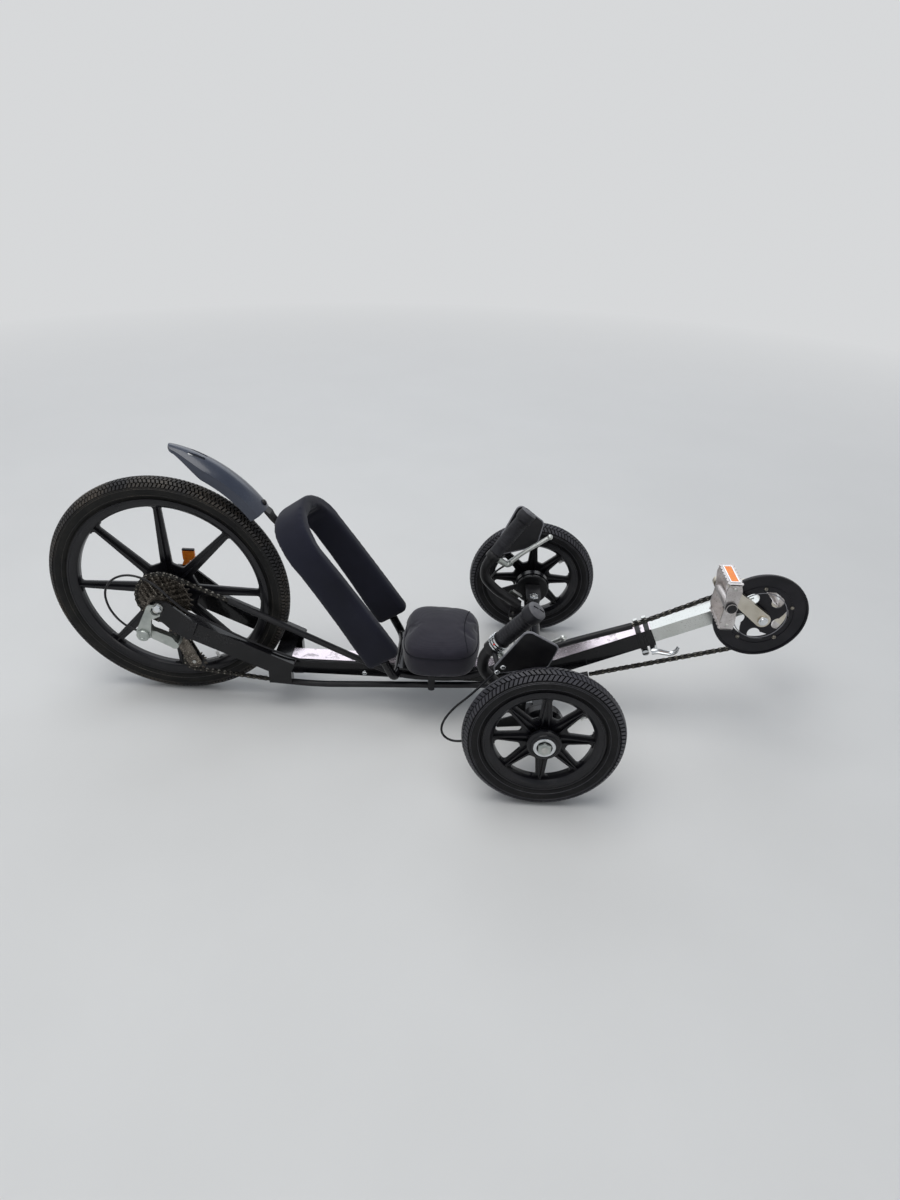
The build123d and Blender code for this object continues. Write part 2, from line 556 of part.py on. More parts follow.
guard_face = Circle(GUARD_RADIUS) - Circle(SPINDLE_RADIUS + SEAT_GAP)
for index in range(5):
    guard_face -= comma(72 * index - 24)
guard = extrude(guard_face, amount=GUARD_THICKNESS)
guard += extrude(Circle(GUARD_RADIUS) - Circle(GUARD_RADIUS - 4), amount=GUARD_THICKNESS + 2)
guard += extrude(Circle(66) - Circle(63.5), amount=GUARD_THICKNESS + 1.2)
nodes["guard_disc"] = across(guard, BRACKET_X, GUARD_INNER_Y, BRACKET_Z)

# Cranks: tapered arms on one spindle, each with its pedal spindle
crank_arms = rod((BRACKET_X, -CRANK_INNER_Y - 3, BRACKET_Z), (BRACKET_X, CRANK_INNER_Y + 3, BRACKET_Z),
                 SPINDLE_RADIUS)
pedal_places = {}
for name, side in SIDES.items():
    turn = math.radians(CRANK_ANGLE + (0 if side < 0 else 180))
    x, z = CRANK_LENGTH * math.cos(turn), CRANK_LENGTH * math.sin(turn)
    y_low, y_high = sorted((side * CRANK_INNER_Y, side * (CRANK_INNER_Y + CRANK_THICKNESS)))
    arm = make_hull([Circle(15).edge(), (Pos(x, z) * Circle(11)).edge()])
    crank_arms += extrude(Plane.XZ.offset(-y_low) * Pos(BRACKET_X, BRACKET_Z) * arm, amount=y_high - y_low,
                          dir=(0, 1, 0))
    spot = (BRACKET_X + x, BRACKET_Z + z)
    pedal_places[name] = spot
    crank_arms += rod((spot[0], side * CRANK_INNER_Y, spot[1]), (spot[0], side * (PEDAL_OUTER_Y - 4), spot[1]),
                      PEDAL_SPINDLE_RADIUS)
    crank_arms += rod((BRACKET_X, side * (CRANK_INNER_Y + CRANK_THICKNESS - 1), BRACKET_Z),
                      (BRACKET_X, side * (CRANK_INNER_Y + CRANK_THICKNESS + 3), BRACKET_Z), 10.0)
nodes["crank_arms"] = crank_arms

# Pedals: a cage of two end plates and two edge bars round a barrel, standing on edge
for name, side in SIDES.items():
    x, z = pedal_places[name]
    half, deep = PEDAL_LENGTH / 2, PEDAL_DEPTH / 2
    ends = [(-deep * 0.7, -half), (deep * 0.7, -half), (deep, -half + 14), (deep * 0.75, 0), (deep, half - 14),
            (deep * 0.7, half), (-deep * 0.7, half), (-deep, half - 14), (-deep * 0.75, 0), (-deep, -half + 14)]
    placed = [(x + px, z + pz) for px, pz in ends]
    pedal = rod((x, side * PEDAL_INNER_Y, z), (x, side * PEDAL_OUTER_Y, z), PEDAL_SPINDLE_RADIUS + 4)
    for y in (PEDAL_INNER_Y, PEDAL_OUTER_Y - 4):
        pedal += side_shape(placed, *sorted((side * y, side * (y + 4))))
    for edge in (-1, 1):
        bar_z = z + edge * (half - 2.5)
        bar = [(x - deep * 0.68, bar_z - 2.5), (x + deep * 0.68, bar_z - 2.5), (x + deep * 0.68, bar_z + 2.5),
               (x - deep * 0.68, bar_z + 2.5)]
        pedal += side_shape(bar, *sorted((side * PEDAL_INNER_Y, side * PEDAL_OUTER_Y)))
    pedal += rod((x, side * PEDAL_OUTER_Y, z), (x, side * (PEDAL_OUTER_Y + 6), z), 10.0)
    pedal -= rod((x, side * (PEDAL_INNER_Y - 1), z), (x, side * (PEDAL_OUTER_Y - 3), z),
                 PEDAL_SPINDLE_RADIUS + RUNNING_GAP)
    nodes[f"pedal_{name}"] = pedal

# Seat back: a padded band bent into an arch and leaning back, open in the middle
SEAT_OUTLINE = by_tyre([(176.0, 127.0), (239.0, 181.0), (100.0, 390.0), (31.0, 478.0), (-28.0, 435.0),
                        (23.0, 380.0), (112.0, 236.0)])
SEAT_RADII = [20.0, 20.0, 150.0, 20.0, 20.0, 150.0, 150.0]
SEAT_LEAN = 56.0
lean = math.radians(SEAT_LEAN)
SEAT_FOOT = (TYRE_FRONT_X + 207.5, 154.0)
seat_foot = Vector(SEAT_FOOT[0], 0, SEAT_FOOT[1])
seat_up = Vector(-math.cos(lean), 0, math.sin(lean))
seat_plane = Plane(origin=seat_foot, x_dir=(0, 1, 0), z_dir=(math.sin(lean), 0, math.cos(lean)))
SEAT_CROWN_DROP = 12.6
seat_height = (Vector(SEAT_OUTLINE[4][0], 0, SEAT_OUTLINE[4][1]) - seat_foot).dot(seat_up) - SEAT_CROWN_DROP


def arch(half_width, height, radius):
    face = Polygon((-half_width, -60), (half_width, -60), (half_width, height), (-half_width, height), align=None)
    return fillet(face.vertices().sort_by(Axis.Y)[-2:], radius)


band = arch(SEAT_HALF_WIDTH, seat_height, SEAT_TOP_RADIUS)
band -= arch(SEAT_HALF_WIDTH - SEAT_BAND, seat_height - SEAT_BAND, SEAT_TOP_RADIUS - SEAT_BAND)
band = extrude(seat_plane * band, amount=140, both=True)
seat_side = side_shape(SEAT_OUTLINE, -SEAT_HALF_WIDTH - 5, SEAT_HALF_WIDTH + 5, SEAT_RADII)
nodes["seat_back"] = band & seat_side

# Seat frame: a bent tube from wing to wing across the boom, with a pan plate for the cushion
SEAT_TUBE_RADIUS = 9.0
tube_y = SEAT_HALF_WIDTH - SEAT_BAND / 2
tube_z = BOOM_BOTTOM_Z + BOOM_WIDTH + SEAT_TUBE_RADIUS + SEAT_GAP
tube_x = SEAT_FOOT[0] + 23.5
half_tube = [(tube_x - 32, tube_y, SEAT_FOOT[1] + 11), (tube_x - 6, tube_y, tube_z + 1), (tube_x, tube_y - 26, tube_z)]
seat_tube = tube(half_tube + [(x, -y, z) for x, y, z in reversed(half_tube)], SEAT_TUBE_RADIUS)
seat_tube -= nodes["seat_back"]
PAN_THICKNESS = 5.0
pan_top = CUSHION_BOTTOM_Z - SEAT_GAP
pan = side_shape([(CUSHION_REAR_X - 7, pan_top - PAN_THICKNESS), (CUSHION_FRONT_X - 15, pan_top - PAN_THICKNESS),
                  (CUSHION_FRONT_X - 15, pan_top), (CUSHION_REAR_X - 7, pan_top)], -70, 70)
post_low = BOOM_BOTTOM_Z + BOOM_WIDTH + SEAT_GAP
post = side_shape([(CUSHION_REAR_X + 39, post_low), (CUSHION_REAR_X + 99, post_low),
                   (CUSHION_REAR_X + 99, pan_top - 4), (CUSHION_REAR_X + 39, pan_top - 4)], -14, 14)
PAN_TIE = [(CUSHION_REAR_X - 12, tube_z + 2.7), (CUSHION_REAR_X + 9, tube_z + 6.7),
           (CUSHION_REAR_X + 9, pan_top - 4), (CUSHION_REAR_X - 12, pan_top - 4)]
nodes["seat_frame"] = seat_tube + pan + post + side_shape(PAN_TIE, -60, -50) + side_shape(PAN_TIE, 50, 60)

cushion = extrude(Rectangle(CUSHION_FRONT_X - CUSHION_REAR_X, 2 * CUSHION_HALF_WIDTH),
                  amount=CUSHION_TOP_Z - CUSHION_BOTTOM_Z)
cushion = fillet(cushion.edges().filter_by(Axis.Z), 34)
cushion = fillet(cushion.faces().sort_by(Axis.Z)[-1].edges(), 12)
nodes["seat_cushion"] = Pos((CUSHION_FRONT_X + CUSHION_REAR_X) / 2, 0, CUSHION_BOTTOM_Z) * cushion

# Mudguard: a moulded channel over the rear tyre, hung from the seat back
MUDGUARD_LINE = [(41.57, 45.4), (64.34, 61.75), (82.32, 71.9)]  # (degrees above forward, height above the tyre)
GUARD_ARC = by_axle([((REAR_TYRE_RADIUS + height) * math.cos(math.radians(angle)),
                      (REAR_TYRE_RADIUS + height) * math.sin(math.radians(angle)))
                     for angle, height in MUDGUARD_LINE])
MUDGUARD_HALF_WIDTH = 32.0
MUDGUARD_WALL = 3.0
MUDGUARD_DEPTH = 32.0


def guard_section(start_depth, end_depth):
    """The area between two arcs that follow the mudguard's top line at two depths below it."""
    circle = ThreePointArc(*GUARD_ARC)
    centre = circle.arc_center
    points = []
    for depth in (start_depth, end_depth):
        row = []
        for x, z in GUARD_ARC:
            away = Vector(x - centre.X, z - centre.Y)
            row.append(Vector(centre.X, centre.Y) + away * ((away.length - depth) / away.length))
        points.append(row)
    upper, lower = points
    return make_face(Curve() + [ThreePointArc(*upper), Line(upper[2], lower[2]), ThreePointArc(*lower),
                                Line(lower[0], upper[0])])


channel = extrude(Plane.XZ.offset(-MUDGUARD_HALF_WIDTH) * guard_section(0, MUDGUARD_DEPTH),
                  amount=2 * MUDGUARD_HALF_WIDTH, dir=(0, -1, 0))
hollow_half = MUDGUARD_HALF_WIDTH - MUDGUARD_WALL
hollow = extrude(Plane.XZ.offset(-hollow_half) * guard_section(MUDGUARD_WALL, MUDGUARD_DEPTH + 8),
                 amount=2 * hollow_half, dir=(0, -1, 0))
nodes["mudguard"] = channel - hollow

# Mudguard bracket: a strip that runs up the seat's back and under the mudguard's top wall
BRACKET_HALF = 12.0
guard_start = GUARD_ARC[0]
BRACKET_LEG = (by_tyre([(10.8, 392.7), (-14.2, 419.7), (-19.5, 428.0), (-23.0, 437.0)])
               + [(guard_start[0] - 4.0, guard_start[1] - 0.8), (guard_start[0] - 7.5, guard_start[1] - 2.8)]
               + by_tyre([(-27.0, 430.0), (-22.6, 423.5), (-16.8, 417.3), (8.2, 390.3)]))
strip_top = MUDGUARD_WALL + SEAT_GAP
strip = extrude(Plane.XZ.offset(-BRACKET_HALF) * guard_section(strip_top, strip_top + 3.0),
                amount=2 * BRACKET_HALF, dir=(0, -1, 0))
strip &= side_shape([(guard_start[0] + x, guard_start[1] + z) for x, z in ((-40, -26), (5, -26), (5, 54), (-40, 54))],
                    -BRACKET_HALF, BRACKET_HALF)
nodes["mudguard_bracket"] = strip + side_shape(BRACKET_LEG, -BRACKET_HALF, BRACKET_HALF)

# Reflector standing on the left dropout by a tab
reflector = side_shape(by_axle([(5.0, 26.0), (31.0, 26.0), (31.0, 50.0), (5.0, 50.0)]),
                       DROPOUT_INNER_Y, DROPOUT_INNER_Y + 6, 3.0)
tab_low = DROPOUT_TOP + SEAT_GAP
reflector += side_shape(by_axle([(1.0, tab_low), (15.0, tab_low), (21.0, 28.0), (7.0, 28.0)]),
                        DROPOUT_INNER_Y, DROPOUT_INNER_Y + DROPOUT_THICKNESS)
nodes["reflector"] = reflector

# Tube clips under the seat
clip_x = (UPPER_TUBE[2][0] + UPPER_TUBE[3][0]) / 2
clip = Plane.XZ.offset(-CHAIN_Y + 8) * make_hull([(Pos(clip_x, UPPER_TUBE[2][1]) * Circle(10)).edge(),
                                                  (Pos(clip_x, 63.5) * Circle(10)).edge()])
clip = extrude(clip, amount=30.0 - 0.3, dir=(0, 1, 0)) & Pos(clip_x, -34, 75) * Box(14, 30 - 0.6, 60)
for points in (UPPER_TUBE, LOWER_TUBE):
    clip -= tube([(x, CHAIN_Y, z) for x, z in points], TUBE_RADIUS + 0.2)
nodes["tube_clip"] = clip

# Steering: everything that turns with the left front wheel, mirrored for the right one
HANDLE_Y = KINGPIN_Y + 7.0
HANDLE_FOOT = [(-33.0, HANDLE_Y, 142.0), (-90.0, HANDLE_Y, 180.0), (-117.0, HANDLE_Y - 1.5, 213.0)]
GRIP_START = Vector(-94.0, HANDLE_Y + 4, 272.0)
GRIP_END = Vector(-26.0, HANDLE_Y + 25, 364.0)
GRIP_SOCKET = 52.0
CLAMP_LENGTH = 16.0
CLAMP_RADIUS = 16.0
LEVER_PIVOT = Vector(-66.0, HANDLE_Y + 12, 240.0)
LEVER_KNEE = Vector(-40.0, HANDLE_Y + 16, 262.0)
LEVER_TIP = Vector(26.0, HANDLE_Y + 24, 308.0)
LEVER_RADIUS = 4.5
HAND_GUARD = [(-106.0, 238.0), (-44.0, 364.0), (14.0, 324.0), (0.0, 268.0)]
HAND_GUARD_Y = HANDLE_Y + 48.0
HAND_GUARD_LEAN = 15.0
HAND_GUARD_THICKNESS = 3.0
NUT_RADIUS = 11.5
WASHER_RADIUS = 20.0
DRUM_RADIUS = 40.0
FRONT_BORE = STUB_RADIUS + RUNNING_GAP
FRONT_HUB = [(FRONT_BORE, -HUB_INNER), (DRUM_RADIUS, -HUB_INNER), (DRUM_RADIUS, -HUB_INNER + 14), (22, -22),
             (22, 12), (HUB_RADIUS, 16), (HUB_RADIUS, 24), (24, HUB_OUTER), (FRONT_BORE, HUB_OUTER)]
REST_ON = HEAD_BOTTOM_Z - KNUCKLE_GAP - PLATE_THICKNESS
UPPER_PLATE_Z = HEAD_TOP_Z + KNUCKLE_GAP
tilt = math.radians(CAMBER)
hub_centre = Vector(0, FRONT_TRACK_HALF, FRONT_AXLE_Z)
outward = Vector(0, math.cos(tilt), math.sin(tilt))


def on_stub(distance):
    """A point on the stub axle, at a distance outward from the wheel's middle plane."""
    return hub_centre + outward * distance


def knuckle_piece():
    """The forked knuckle with its kingpin bolt, stub axle and wheel nut, steering arm and handle gusset."""
    plate = Pos(0, KINGPIN_Y, 0) * Box(2 * KNUCKLE_HALF_WIDTH, KNUCKLE_OUTER_Y - KINGPIN_Y, PLATE_THICKNESS,
                                       align=(Align.CENTER, Align.MIN, Align.MIN))
    plate += rod((0, KINGPIN_Y, 0), (0, KINGPIN_Y, PLATE_THICKNESS), PLATE_END_RADIUS)
    piece = Pos(0, 0, UPPER_PLATE_Z) * plate + Pos(0, 0, REST_ON) * plate
    wall = [(-KNUCKLE_HALF_WIDTH, REST_ON), (KNUCKLE_HALF_WIDTH, REST_ON),
            (KNUCKLE_HALF_WIDTH, UPPER_PLATE_Z + PLATE_THICKNESS),
            (-KNUCKLE_HALF_WIDTH, UPPER_PLATE_Z + PLATE_THICKNESS)]
    piece += side_shape(wall, KNUCKLE_OUTER_Y - PLATE_THICKNESS, KNUCKLE_OUTER_Y)
    arm = Polygon((0, KINGPIN_Y - PLATE_END_RADIUS + 1), (0, KINGPIN_Y + PLATE_END_RADIUS),
                  (-STEER_ARM - 9, KINGPIN_Y + 11), (-STEER_ARM - 9, KINGPIN_Y - 9), align=None)
    piece += Pos(0, 0, REST_ON) * extrude(arm, amount=PLATE_THICKNESS, dir=(0, 0, 1))
    gusset_y = HANDLE_Y
    piece += side_shape([(-27.0, REST_ON + 2), (-27.0, 146.0), (-52.0, 158.0), (-52.0, REST_ON + 2)],
                        gusset_y - PLATE_THICKNESS / 2, gusset_y + PLATE_THICKNESS / 2)
    bolt_top = UPPER_PLATE_Z + PLATE_THICKNESS
    piece += rod((0, KINGPIN_Y, REST_ON - 4), (0, KINGPIN_Y, bolt_top), KINGPIN_RADIUS)
    piece += Pos(0, KINGPIN_Y, bolt_top) * extrude(RegularPolygon(9, 6), amount=7)
    piece += Pos(0, KINGPIN_Y, REST_ON - 7) * extrude(RegularPolygon(8.5, 6), amount=7)
    piece += rod(on_stub(KNUCKLE_OUTER_Y - 2 - FRONT_TRACK_HALF), on_stub(HUB_OUTER + 8.5), STUB_RADIUS)
    piece += rod(on_stub(HUB_OUTER + 0.4), on_stub(HUB_OUTER + 2.4), WASHER_RADIUS)
    piece += Plane(origin=on_stub(HUB_OUTER + 2.4), z_dir=outward) * extrude(RegularPolygon(NUT_RADIUS, 6), amount=6)
    return piece - rod((-STEER_ARM, TIE_ROD_Y, REST_ON - 1), (-STEER_ARM, TIE_ROD_Y, REST_ON + 20),
                       TIE_PIN_RADIUS + RUNNING_GAP)


def brake_lever_piece():
    """A clamp round the handle just below the grip, and a blade in front of the grip."""
    direction = (GRIP_END - GRIP_START).normalized()
    low = GRIP_START - direction * (CLAMP_LENGTH + 1)
    piece = turned([(HANDLE_RADIUS + SEAT_GAP, 0), (CLAMP_RADIUS, 0), (CLAMP_RADIUS, CLAMP_LENGTH),
                    (HANDLE_RADIUS + SEAT_GAP, CLAMP_LENGTH)], low, direction)
    beside = low + direction * (CLAMP_LENGTH / 2) + Vector(0.81, 0, -0.59) * 14
    piece += rod(beside, LEVER_PIVOT, 5.0)
    piece += Pos(*LEVER_PIVOT) * Sphere(7.5)
    piece += rod(LEVER_PIVOT, LEVER_KNEE, LEVER_RADIUS)
    piece += rod(LEVER_KNEE, LEVER_TIP, LEVER_RADIUS)
    return piece + Pos(*LEVER_KNEE) * Sphere(LEVER_RADIUS + 0.8)


def grip_piece():
    """A rubber grip with a collar below and a wider cap above, closed at its upper end."""
    direction = GRIP_END - GRIP_START
    length = direction.length
    bore = HANDLE_RADIUS + SEAT_GAP
    return turned([(bore, 0), (15, 0), (15, 20), (GRIP_RADIUS, 24), (GRIP_RADIUS, length - 24), (19, length - 20),
                   (20, length - 10), (19, length), (0, length), (0, GRIP_SOCKET), (bore, GRIP_SOCKET)],
                  GRIP_START, direction)


def hand_guard_piece():
    """A rounded plate outboard of the grip, leaning outwards, on a short bar from the lever clamp."""
    low_z = HAND_GUARD[0][1]
    plate = side_shape(HAND_GUARD, 0, HAND_GUARD_THICKNESS, 12.0)
    return Pos(0, HAND_GUARD_Y, low_z) * Rot(-HAND_GUARD_LEAN, 0, 0) * Pos(0, 0, -low_z) * plate


def brake_piece():
    """The fixed back plate of the drum brake round the stub axle, with its arm reaching rearwards."""
    start = KNUCKLE_OUTER_Y + 4.5 - FRONT_TRACK_HALF
    piece = turned([(0, 0), (36, 0), (38, 2), (38, 7.0), (0, 7.0)], on_stub(start), outward)
    piece += side_shape([(-34.0, 132.0), (-84.0, 126.0), (-84.0, 142.0), (-34.0, 162.0)],
                        KNUCKLE_OUTER_Y + 5.5, KNUCKLE_OUTER_Y + 9.5)
    piece += rod(on_stub(start - 4), on_stub(start + 1), 12.0)
    return piece - rod(on_stub(start - 20), on_stub(0), STUB_RADIUS + SEAT_GAP)


grip_direction = (GRIP_END - GRIP_START).normalized()
handle_points = HANDLE_FOOT + [tuple(GRIP_START - grip_direction * 34),
                               tuple(GRIP_START + grip_direction * (GRIP_SOCKET - 2))]
wheel_plane = Plane(origin=hub_centre, x_dir=(1, 0, 0), z_dir=outward)
left = {"knuckle": knuckle_piece(), "brake_lever": brake_lever_piece(), "grip": grip_piece()}
left["handlebar"] = tube(handle_points, HANDLE_RADIUS) - left["knuckle"]
left["brake"] = brake_piece() - left["knuckle"]
clamp_side = GRIP_START - grip_direction * (CLAMP_LENGTH / 2 + 1)
left["hand_guard"] = hand_guard_piece() + (
    rod(clamp_side, clamp_side + Vector(12, 53, -8), 5.0)
    - turned([(0, -9), (CLAMP_RADIUS + SEAT_GAP, -9), (CLAMP_RADIUS + SEAT_GAP, 9), (0, 9)], clamp_side,
             grip_direction))
left["rim_front"] = wheel_plane * mag_rim(FRONT_RING, FRONT_TYRE_SECTION, FRONT_BEAD_SEAT, FRONT_WINDOW_RADIUS,
                                          FRONT_HUB, 9.0, FRONT_BORE)
left["tyre_front"] = wheel_plane * round_tyre(FRONT_RING, FRONT_TYRE_SECTION, FRONT_BEAD_SEAT)
for name, side in SIDES.items():
    for piece, shape in left.items():
        nodes[f"{piece}_{name}"] = shape if side > 0 else mirror(shape, about=Plane.XZ)

# Tie rod: a round bar between the two steering arms, with an eye and an upright pin at each end
EYE_HALF_HEIGHT = 5.0
ROD_Z = REST_ON - SEAT_GAP - EYE_HALF_HEIGHT
tie_rod = rod((-STEER_ARM, -TIE_ROD_Y, ROD_Z), (-STEER_ARM, TIE_ROD_Y, ROD_Z), TIE_ROD_RADIUS)
for side in SIDES.values():
    eye_low = (-STEER_ARM, side * TIE_ROD_Y, ROD_Z - EYE_HALF_HEIGHT)
    tie_rod += rod(eye_low, (-STEER_ARM, side * TIE_ROD_Y, ROD_Z + EYE_HALF_HEIGHT), 7.0)
    tie_rod += rod((-STEER_ARM, side * TIE_ROD_Y, ROD_Z), (-STEER_ARM, side * TIE_ROD_Y, REST_ON + 9),
                   TIE_PIN_RADIUS)
nodes["tie_rod"] = tie_rod

for name, shape in nodes.items():
    export_step(Pos(ORIGIN_SHIFT, 0, 0) * shape, f"parts/{name}.step")
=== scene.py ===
from math import acos, asin, atan2, copysign, cos, degrees, dist, hypot, pi, radians, sin, sqrt, tan, tau

import bmesh
import bpy
from mathutils import Matrix, Vector


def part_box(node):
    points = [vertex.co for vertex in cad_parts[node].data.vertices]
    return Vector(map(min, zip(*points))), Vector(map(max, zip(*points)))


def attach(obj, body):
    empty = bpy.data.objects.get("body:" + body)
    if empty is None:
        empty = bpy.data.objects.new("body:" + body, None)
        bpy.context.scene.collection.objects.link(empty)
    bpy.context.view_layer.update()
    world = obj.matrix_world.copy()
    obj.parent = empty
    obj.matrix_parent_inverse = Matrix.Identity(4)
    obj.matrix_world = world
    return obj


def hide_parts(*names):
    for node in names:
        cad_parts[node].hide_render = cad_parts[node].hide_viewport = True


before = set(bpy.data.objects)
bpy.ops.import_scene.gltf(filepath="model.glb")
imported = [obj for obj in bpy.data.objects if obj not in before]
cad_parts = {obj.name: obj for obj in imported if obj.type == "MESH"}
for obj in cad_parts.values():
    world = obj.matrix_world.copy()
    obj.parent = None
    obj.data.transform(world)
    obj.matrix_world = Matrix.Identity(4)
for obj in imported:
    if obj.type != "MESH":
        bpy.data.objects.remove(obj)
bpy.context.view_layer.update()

REAR_AXLE_X, REAR_RADIUS = -771.0, 250.0
FRONT_AXLE_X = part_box("tyre_rear")[0].x - (REAR_AXLE_X - REAR_RADIUS) / 1000
SIDES = {"right": -1, "left": 1}


def at(x, y, z):
    """A place in metres from millimetres measured from the ground below the middle of the front axle."""
    return Vector((FRONT_AXLE_X + x / 1000, y / 1000, z / 1000))


def link(obj):
    bpy.context.scene.collection.objects.link(obj)
    return obj


# Camera at the photograph's viewing angle
YAW, TILT, ROLL = radians(1.714), radians(31.364), radians(-1.899)
camera_data = bpy.data.cameras.new("camera")
camera_data.sensor_fit = "VERTICAL"
camera_data.sensor_height = 36.0
camera_data.lens = 24.345
camera_data.clip_end = 60.0
camera = link(bpy.data.objects.new("camera", camera_data))
turn = Matrix.Rotation(YAW, 3, "Z")
right = turn @ Vector((1, 0, 0))
up = turn @ Vector((0, sin(TILT), cos(TILT)))
forward = turn @ Vector((0, cos(TILT), -sin(TILT)))
camera_x = cos(ROLL) * right - sin(ROLL) * up
camera_y = sin(ROLL) * right + cos(ROLL) * up
axes = Matrix((camera_x, camera_y, -forward)).transposed()
camera.matrix_world = Matrix.Translation(at(-144.5, -1432.9, 1127.6)) @ axes.to_4x4()
bpy.context.scene.camera = camera
bpy.context.scene.view_settings.view_transform = "Standard"


# Materials
def fill(tree, made, inputs):
    """Sets a node's inputs, each to a value or from another node's socket."""
    for socket, value in inputs.items():
        if isinstance(value, bpy.types.NodeSocket):
            tree.links.new(value, made.inputs[socket])
        else:
            made.inputs[socket].default_value = value


def node(tree, kind, output, inputs, **settings):
    """Adds a node and gives back one of its outputs."""
    made = tree.nodes.new("ShaderNode" + kind)
    for name, value in settings.items():
        setattr(made, name, value)
    fill(tree, made, inputs)
    return made.outputs[output]


def noise(tree, place, scale, detail):
    return node(tree, "TexNoise", "Fac", {"Vector": place, "Scale": scale, "Detail": detail})


def spread(tree, value, low, high, to_low=0.0, to_high=1.0):
    """Maps a value's range onto another, clamped at both ends."""
    return node(tree, "MapRange", "Result", {"Value": value, "From Min": low, "From Max": high,
                                             "To Min": to_low, "To Max": to_high})


def mixed(tree, factor, first, second):
    """Mixes a colour socket with a colour."""
    return node(tree, "Mix", "Result", {"Factor": factor, "A": first, "B": (*second, 1)}, data_type="RGBA")


def times(tree, first, second):
    return node(tree, "Math", "Value", {0: first, 1: second}, operation="MULTIPLY")


MATERIALS = {}
ROUGH_SPREAD = 0.1
BUMP_DEPTH = 0.0004
COAT_ROUGHNESS = 0.06


def material(name, color, second, roughness, scale, grain, bump, metallic=0.0, coat=0.0, dust=0.0,
             dust_color=(0.30, 0.27, 0.22), sheen=0.0, specular=0.5, weave=0.0, speck=None, painted_top_reflection=None,
             brushed=False):
    """A surface whose colour, roughness and bump vary with noise at a broad scale and a fine grain.

    dust lies in its grain, weave is the thread pitch of a cloth in metres, speck is the colour of small worn
    spots, and a top colour, if given, is a painted reflection of the sky: a pale metallic colour on upward
    faces."""
    made = bpy.data.materials.new(name)
    made.use_nodes = True
    tree = made.node_tree
    coordinates = tree.nodes.new("ShaderNodeTexCoord")
    place = coordinates.outputs["Object"]
    broad = noise(tree, place, scale, 5.0)
    drawn = node(tree, "Mapping", "Vector", {"Vector": place, "Scale": (0.04, 1, 1)}) if brushed else place
    fine = noise(tree, drawn, grain, 3.0)
    ramp = tree.nodes.new("ShaderNodeValToRGB")
    for element, position, tone in zip(ramp.color_ramp.elements, (0.35, 0.68), (color, second)):
        element.position = position
        element.color = (*tone, 1)
    tree.links.new(broad, ramp.inputs["Fac"])
    base = ramp.outputs["Color"]
    if speck:
        base = mixed(tree, spread(tree, noise(tree, place, 420.0, 2.0), 0.60, 0.68), base, speck)
    if dust:
        lying = times(tree, spread(tree, fine, 0.42, 0.75), spread(tree, broad, 0.40, 0.65))
        base = mixed(tree, times(tree, lying, dust), base, dust_color)
    height = fine
    if weave:
        threads = [node(tree, "TexWave", "Fac", {"Scale": 0.314 / weave, "Distortion": 0.6, "Vector": place},
                        bands_direction=direction) for direction in "XZ"]
        height = node(tree, "Math", "Value", {0: times(tree, *threads), 1: times(tree, fine, 0.5)},
                      operation="ADD")
        base = mixed(tree, spread(tree, height, 0.7, 1.3, 0.0, 0.35), base, second)
    # Painted reflection: upward faces take a pale metallic colour that stands in for the sky reflected on
    # them
    if painted_top_reflection:
        facing = node(tree, "SeparateXYZ", "Z", {"Vector": coordinates.outputs["Normal"]})
        metallic = times(tree, spread(tree, facing, 0.84, 0.90),
                         spread(tree, noise(tree, place, 55.0, 6.0), 0.32, 0.46, 0.55, 0.96))
        base = mixed(tree, metallic, base, painted_top_reflection)
    fill(tree, tree.nodes["Principled BSDF"], {
        "Base Color": base, "Metallic": metallic, "Specular IOR Level": specular, "Sheen Weight": sheen,
        "Coat Weight": coat, "Coat Roughness": COAT_ROUGHNESS,
        "Roughness": spread(tree, broad, 0.0, 1.0, max(0.03, roughness - ROUGH_SPREAD),
                            min(1.0, roughness + ROUGH_SPREAD)),
        "Normal": node(tree, "Bump", "Normal",
                       {"Strength": bump, "Distance": BUMP_DEPTH, "Height": height})})
    MATERIALS[name] = made
    return made


material("frame_paint", (0.004, 0.004, 0.005), (0.008, 0.008, 0.010), 0.20, 18, 260, 0.04, coat=0.25,
         dust=0.03, specular=0.2)
# The boom's paint, with a painted sky reflection on its upward faces
material("boom_paint", (0.004, 0.004, 0.005), (0.008, 0.008, 0.010), 0.24, 18, 260, 0.04, coat=0.25,
         dust=0.03, specular=0.2, painted_top_reflection=(0.72, 0.64, 0.68))
material("satin_black", (0.005, 0.005, 0.006), (0.011, 0.011, 0.013), 0.38, 25, 500, 0.1, dust=0.06,
         specular=0.35)
material("bare_aluminium", (0.58, 0.60, 0.57), (0.70, 0.71, 0.69), 0.34, 14, 300, 0.10, metallic=1.0,
         brushed=True, speck=(0.45, 0.45, 0.43))
material("polished", (0.64, 0.66, 0.68), (0.76, 0.78, 0.79), 0.22, 60, 700, 0.05, metallic=1.0)
material("steel", (0.40, 0.40, 0.38), (0.62, 0.62, 0.60), 0.34, 60, 700, 0.15, metallic=1.0, dust=0.25)
material("cast_alloy", (0.36, 0.39, 0.37), (0.54, 0.57, 0.54), 0.38, 45, 600, 0.2, metallic=0.9, dust=0.15)
material("crank_metal", (0.52, 0.48, 0.40), (0.70, 0.66, 0.58), 0.32, 30, 600, 0.08, metallic=1.0,
         dust=0.08)
material("pedal_metal", (0.50, 0.47, 0.46), (0.70, 0.67, 0.66), 0.36, 50, 600, 0.15, metallic=0.95,
         speck=(0.36, 0.33, 0.31))
material("black_plastic", (0.005, 0.005, 0.007), (0.010, 0.010, 0.013), 0.40, 30, 800, 0.15, dust=0.08,
         specular=0.35)
material("guard_plastic", (0.005, 0.005, 0.008), (0.010, 0.009, 0.013), 0.33, 26, 700, 0.12, dust=0.08,
         dust_color=(0.12, 0.11, 0.13), specular=0.28)
